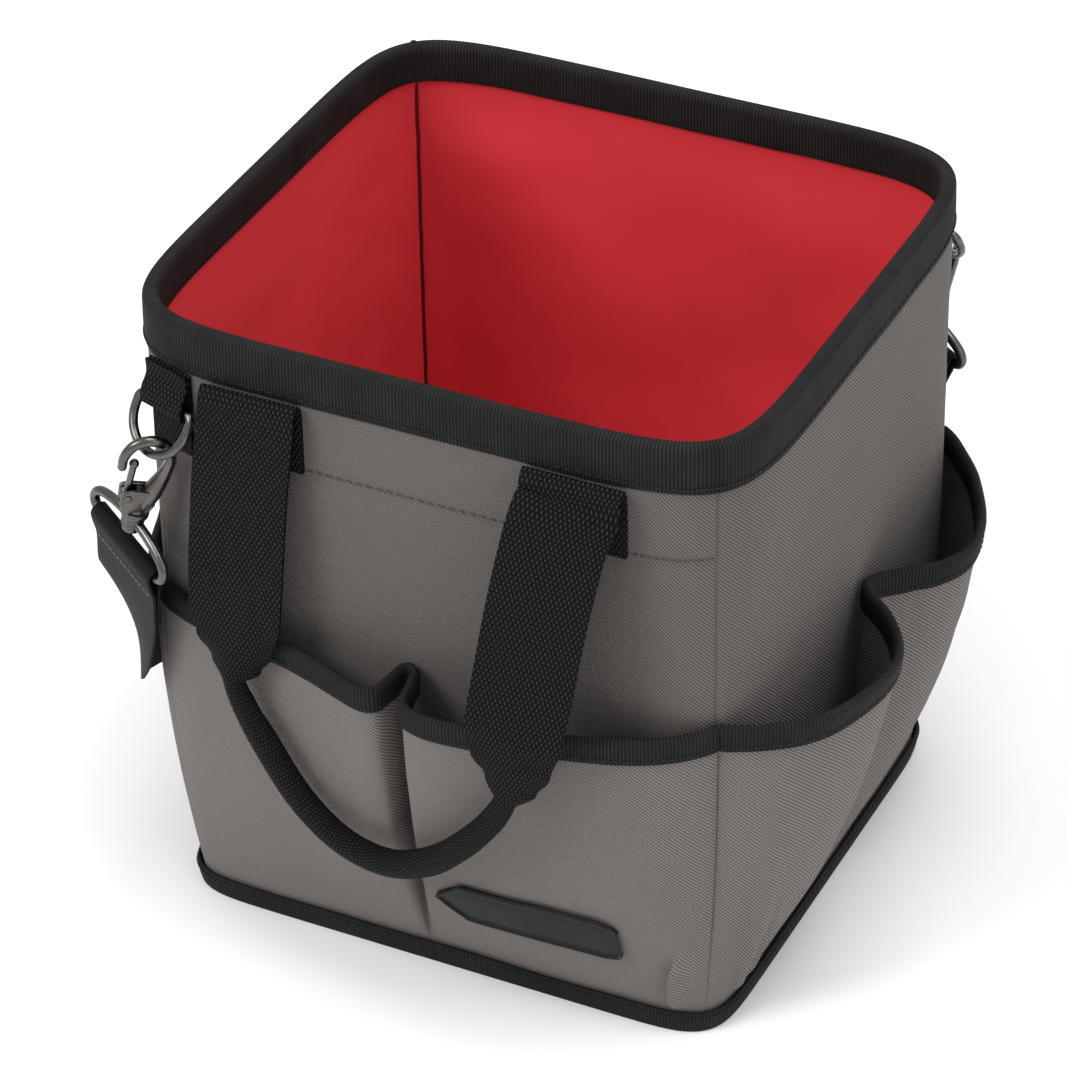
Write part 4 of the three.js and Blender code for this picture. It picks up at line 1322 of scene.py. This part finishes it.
@dataclass
class SnapHook:
    """The swivel snap hook at the front: jaw, sprung gate and eye. The hidden back one is a plain link."""

    rig: CornerRig
    jaw: tuple[Pair, ...] = (
        (-9.9, 24.5), (-9.9, 30), (-6.7, 36.7), (0, 39.5), (6.7, 36.7),
        (9.5, 30), (8.5, 22), (5.5, 12), (2, 4),
    )
    jaw_points: int = 72
    jaw_wire: float = 2.3
    cheek: tuple[Pair, ...] = ((-8, 5), (-5, 0), (4, 0), (7, 6), (5, 13), (-5, 13.5), (-8.5, 12))
    core: tuple[Pair, ...] = ((-1.5, 1), (4.5, 1), (6.2, 6), (4.5, 12.3), (-1.5, 12.3))
    foot: tuple[Pair, ...] = ((-6.8, 0.6), (-4.8, 0), (4, 0), (6, 3.6), (-7.4, 3.9))
    body_half: float = 4.0
    fork_half: float = 1.9
    pivot: Pair = (-5.5, 9.5)
    tip: Pair = (-5.2, 26.5)
    eye_wire: float = 2.2
    eye_half: float = 26.0
    eye_straight: float = 22.0
    eye_top: float = -5.5
    eye_bar: float = -20.0
    link_radius: float = 9.5
    link_crown: float = 39.5

    def eye_points(self) -> list[Vector]:
        """The eye's middle line: a long bar and an arch over it."""
        straight, half, low = self.eye_straight, self.eye_half, self.eye_bar
        bar = [Vector((mix(-straight, straight, i / 12), 0, low)) for i in range(13)]
        right = ((straight, low), (half - 0.6, low + 2.2), (half, low + 5.5), (half - 2.4, -11), (14, -7))
        left = [(-x, z) for x, z in reversed(right)]
        arch = flat_points((*right, (0, self.eye_top), *left), 64)
        return [*bar, *arch[1:-1]]

    def hook(self) -> MetalShop:
        """The jaw, the forked body with the gate's rivet, and the swivel's collars and pin."""
        shop = MetalShop()
        points = flat_points(self.jaw, self.jaw_points)
        shares = [i / (self.jaw_points - 1) for i in range(self.jaw_points)]
        radii = [mix(0.88, 1.0, ease(0, 0.3, s)) + 0.95 * bump(0.93, 0.17, s) for s in shares]
        shop.wire(points, self.jaw_wire, False, radii)
        shop.ball(self.jaw_wire * 0.86, points[0])
        for low, high in ((-self.body_half, -self.fork_half), (self.fork_half, self.body_half)):
            shop.plate(self.cheek, low, high, 0.95)
        inside = self.fork_half + 0.6
        for outline in (self.core, self.foot):
            shop.plate(outline, -inside, inside, 0.3)
        x, z = self.pivot
        shop.pin(1.2, Vector((x, -self.body_half - 0.5, z)), Vector((x, self.body_half + 0.5, z)), 0.3)
        for y in (-1, 1):
            head = y * (self.body_half + 0.8)
            shop.pin(1.9, Vector((x, y * self.body_half, z)), Vector((x, head, z)), 0.35)
        collars = ((6.0, -2.5, 0.5, 0.8), (4.6, 0.2, 2.2, 0.8), (2.2, -9, -2, 0.2), (4.0, -11, -8.5, 0.7))
        for radius, low, high, edge in collars:
            shop.pin(radius, Vector((0, 0, low)), Vector((0, 0, high)), edge)
        return shop

    def gate(self) -> MetalShop:
        """The sprung gate, with its knob and the coils round its rivet."""
        shop = MetalShop()
        hub = Vector((self.pivot[0], 0, self.pivot[1]))
        tip = Vector((self.tip[0], 0, self.tip[1]))
        shop.pin(1.5, hub + (tip - hub).normalized() * 2.0, tip, 0.3)
        shop.ball(2.1, tip)
        for y, wire in ((0, 0.75), (-0.85, 0.72), (0.85, 0.72)):
            shop.wire([p + Vector((0, y, 0)) for p in arc(self.pivot, 2.2, 0, 345, 24)], wire, True)
        return shop

    def eye(self) -> MetalShop:
        """The eye, with the turned neck that holds it on the swivel's pin."""
        shop = MetalShop()
        shop.wire(self.eye_points(), self.eye_wire, True)
        for level in (-4.1, -5.55, -7.0):
            shop.wire([Vector((p.x, p.z, level)) for p in arc((0, 0), 3.75, 0, 350, 36)], 1.22, True)
        return shop

    def build(self, finishes: Finishes) -> None:
        """Builds and dresses the hook, its gate and its eye."""
        steel = finishes.steel
        dress(self.hook().finish("snap_hook", self.rig.hook()), steel, "steel", "hook_front")
        dress(self.gate().finish("snap_gate", self.rig.hook()), steel, "steel", "gate_front", body=GATE)
        dress(self.eye().finish("swivel_eye", self.rig.eye()), steel, "steel", "eye_front")

    def build_plain(self, finishes: Finishes, rig: CornerRig) -> None:
        """Builds and dresses the hidden hook at the back as one plain link and eye."""
        shop = MetalShop()
        upper = arc((0, self.link_crown - self.link_radius), self.link_radius, 0, 180, 30)
        lower = arc((0, self.eye_top + self.link_radius), self.link_radius, 180, 360, 30)
        shop.wire([*upper, *lower], self.jaw_wire, True)
        turn = Matrix.Rotation(rig.eye_turn, 3, "Z")
        shop.wire([turn @ p for p in self.eye_points()], self.eye_wire, True)
        dress(shop.finish("plain_hook", rig.hook()), finishes.steel, "steel", "hook_back")


# The strap's way round the bag: place, and the way its outer face looks in degrees.
STRAP_STATIONS = (
    (-144, -118, 136, 45), (-149, -104, 122, 68), (-155, -85, 112, 84), (-160, -50, 95, 90),
    (-164, -10, 72, 91), (-163, 35, 52, 91), (-160, 75, 36, 95), (-151, 110, 27, 112), (-125, 143, 23, 150),
    (-88, 154, 22.6, 174), (-50, 156, 23.4, 179), (-14, 157, 29, 180), (20, 157, 43, 180),
    (50, 155, 66, 181), (71, 152.5, 96, 184), (84, 150.5, 127, 190),
)


@dataclass
class ShoulderStrap:
    """The shoulder strap from the front eye round the left and the back to the back eye."""

    front: CornerRig
    back: CornerRig
    width: float = 44.0
    tail: float = 34.0
    stitch_half: float = 20.0
    stitch_station: float = 8.9

    def __post_init__(self) -> None:
        """Lays the whole strap."""
        way = []
        for x, y, z, degrees in STRAP_STATIONS:
            angle = math.radians(degrees)
            way.append(Station(Vector((x, y, z)), Vector((-math.sin(angle), -math.cos(angle), 0))))
        stations = [*self.end(self.front), *way, *reversed(self.end(self.back))]
        self.band = Band("shoulder_webbing", stations, self.width, across=14)

    def end(self, rig: CornerRig) -> list[Station]:
        """The sewn tail, the turn over the eye's bar, and the start of the strap's way."""
        loop = loop_radius(SnapHook.eye_wire)
        slant = loop * DIAGONAL
        bar = rig.eye() @ Matrix.Translation((0, 0, SnapHook.eye_bar))
        frame_matrix = bar @ Matrix.Rotation(rig.strap_swing, 4, "X")
        turn = frame_matrix.to_3x3()
        rows = (
            (self.tail, -1), (14, -1.4), (5, -2.8), (0, -loop), (-slant, -slant), (-loop, 0),
            (-slant, slant), (0, loop), (5, 2.8), (14, 1.2), (self.tail, 1),
        )
        stations = []
        for below, forward in rows:
            reach = math.copysign(1, forward) if below > 0 else forward
            facing = turn @ Vector((0, -reach, max(-below, 0))).normalized()
            stations.append(Station(frame_matrix @ Vector((0, -forward, -below)), facing))
        return stations

    def stitch_point(self, at: float, share: float) -> Vector:
        """The row of thread across the strap at a share of its length."""
        centre, sideways, outward = self.band.axes(at)
        return centre + sideways * mix(-self.stitch_half, self.stitch_half, share) + outward * 0.95

    def build(self, finishes: Finishes) -> None:
        """Builds and dresses the strap and its stitches."""
        self.band.build(finishes.strap, "strap", "shoulder_strap")
        last = len(self.band.stations) - 1
        for label, station in (("front", self.stitch_station), ("back", last - self.stitch_station)):
            row = partial(self.stitch_point, station / last)
            stitch_row(f"strap_stitches_{label}", row, finishes.pale_thread, "strap", 2.8, 0.35)


@dataclass
class Badge:
    """The bare moulded patch on the front pocket."""

    pocket: Pocket
    thickness: float = 1.8
    rim: float = 1.0
    outline: tuple[Triple, ...] = (
        (8, 52.5, 54.5), (21, 41, 66.5), (50, 39.8, 65.2), (82, 38.1, 63.3), (88, 39, 61), (90, 42, 57.5),
    )
    right_of_pleat: float = 11 / 17
    cells: Cells = (110, 36)

    def edges(self, share: float) -> Triple:
        """Place along the wall, lower edge and upper edge at a share along the patch."""
        along = mix(self.outline[0][0], self.outline[-1][0], share)
        for (a, low, high), (b, next_low, next_high) in zip(self.outline, self.outline[1:]):
            if along <= b:
                part = (along - a) / (b - a)
                return along, mix(low, next_low, part), mix(high, next_high, part)
        return self.outline[-1]

    def station(self, along: float, z: float) -> float:
        """The share of the pocket's curve at a place along the wall, right of the pleat."""
        low, high = self.right_of_pleat, 1.0
        for _ in range(24):
            middle = (low + high) / 2
            if self.pocket.face(middle, z).x < along:
                low = middle
            else:
                high = middle
        return low

    def point(self, along: float, up: float) -> Vector:
        """The patch's face, with its raised border."""
        x, low, high = self.edges(along)
        height = high - low
        inside = min(up * height, (1 - up) * height, self.outline[-1][0] - x, (x - 6.5) * 0.8)
        raised = self.rim * ease(0.4, 0.9, inside) * ease(2.3, 1.8, inside)
        crown = 0.3 * ease(2.3, 8.0, inside)
        z = mix(low, high, up)
        return self.pocket.off(self.station(x, z), z, self.thickness + 0.2 + raised + crown)

    def build(self, finishes: Finishes) -> None:
        """Builds and dresses the patch."""
        patch = cut_cloth("patch", self.cells, self.point)
        thicken(patch, self.thickness, -1, 0.35)
        dress(patch, finishes.rubber, "rubber", "badge")


@dataclass
class Studio:
    """Floor, lights and the camera at the photograph's angle."""

    eye: Triple = (0.7704, -1.5752, 1.3667)
    yaw: float = 26.442
    pitch: float = 34.774
    roll: float = -1.078
    lens: float = 167.07
    sky: float = 0.75
    aim: Triple = (0, 0, 0.15)

    def camera(self) -> None:
        """Sets up the camera."""
        a, e, r = (math.radians(v) for v in (self.yaw, self.pitch, self.roll))
        back = Vector((math.sin(a) * math.cos(e), -math.cos(a) * math.cos(e), math.sin(e)))
        right = Vector((math.cos(a), math.sin(a), 0))
        up = back.cross(right)
        right, up = right * math.cos(r) + up * math.sin(r), up * math.cos(r) - right * math.sin(r)
        data = bpy.data.cameras.new("photo_camera")
        data.sensor_width = 36.0
        data.lens = self.lens
        camera = bpy.data.objects.new("photo_camera", data)
        turn = Matrix((right, up, back)).transposed().to_4x4()
        camera.matrix_world = Matrix.Translation(self.eye) @ turn
        bpy.context.scene.collection.objects.link(camera)
        bpy.context.scene.camera = camera

    def light(self, name: str, place: Triple, size: float, power: float) -> None:
        """Adds a soft lamp that looks at the bag."""
        data = bpy.data.lights.new(name, "AREA")
        data.shape = "DISK"
        data.size = size
        data.energy = power
        lamp = bpy.data.objects.new(name, data)
        spot = Vector(place)
        lamp.location = spot
        lamp.rotation_euler = (Vector(self.aim) - spot).to_track_quat("-Z", "Y").to_euler()
        bpy.context.scene.collection.objects.link(lamp)

    def floor(self) -> None:
        """Lays the pale floor."""
        shape = bmesh.new()
        bmesh.ops.create_grid(shape, x_segments=4, y_segments=4, size=6.0)
        floor = to_object("studio_floor", shape)
        graph = Graph("pale_floor", 0.9)
        graph.shade(Base_Color=graph.blend(graph.mottle(1.5, 2.0), (0.86, 0.86, 0.86), (0.9, 0.9, 0.9)))
        floor.data.materials.append(graph.material)

    def build(self) -> None:
        """Builds floor, lights and camera."""
        self.floor()
        world = bpy.data.worlds.new("studio")
        world.use_nodes = True
        background = world.node_tree.nodes["Background"]
        background.inputs["Color"].default_value = (1.0, 1.0, 1.0, 1.0)
        background.inputs["Strength"].default_value = self.sky
        bpy.context.scene.world = world
        bpy.context.scene.view_settings.view_transform = "Standard"
        self.light("key", (-1.3, -1.9, 2.3), 1.6, 54)
        self.light("top", (0.7, 0.0, 2.8), 2.0, 43)
        self.light("fill", (2.2, -0.8, 1.3), 1.8, 9)
        self.camera()


def main() -> None:
    """Builds the bag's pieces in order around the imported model."""
    logging.basicConfig(level=logging.INFO, format="%(message)s")
    strap = ShoulderStrap(FRONT_RIG, BACK_RIG)
    strap_length = path_length(strap.band.path.at, 400)
    LOG.info("shoulder strap %.0f mm long", strap_length)
    finishes = Finishes(strap_length)
    walls = Walls()
    walls.build(finishes)
    EdgeTapes().build(finishes)
    front_pocket = Pocket(Side.FRONT, FRONT_FOLDS, 3, FRONT_TUCKS)
    right_pocket = Pocket(Side.RIGHT, RIGHT_FOLDS, 3, RIGHT_TUCKS)
    left_pocket = Pocket(Side.LEFT, LEFT_FOLDS, 5)
    for pocket in (front_pocket, right_pocket, left_pocket):
        pocket.build(finishes)
    walls.sew(finishes)
    Handle("handle_front", "front_handle", False, 1.0, 0.0).build(finishes)
    Handle("handle_back", "back_handle", True, 0.1, 5.0).build(finishes)
    RingAndTab(FRONT_RIG, "front").build(finishes)
    RingAndTab(BACK_RIG, "back").build(finishes)
    hook = SnapHook(FRONT_RIG)
    hook.build(finishes)
    hook.build_plain(finishes, BACK_RIG)
    strap.build(finishes)
    Badge(front_pocket).build(finishes)
    Studio().build()


if __name__ == "__main__":
    main()
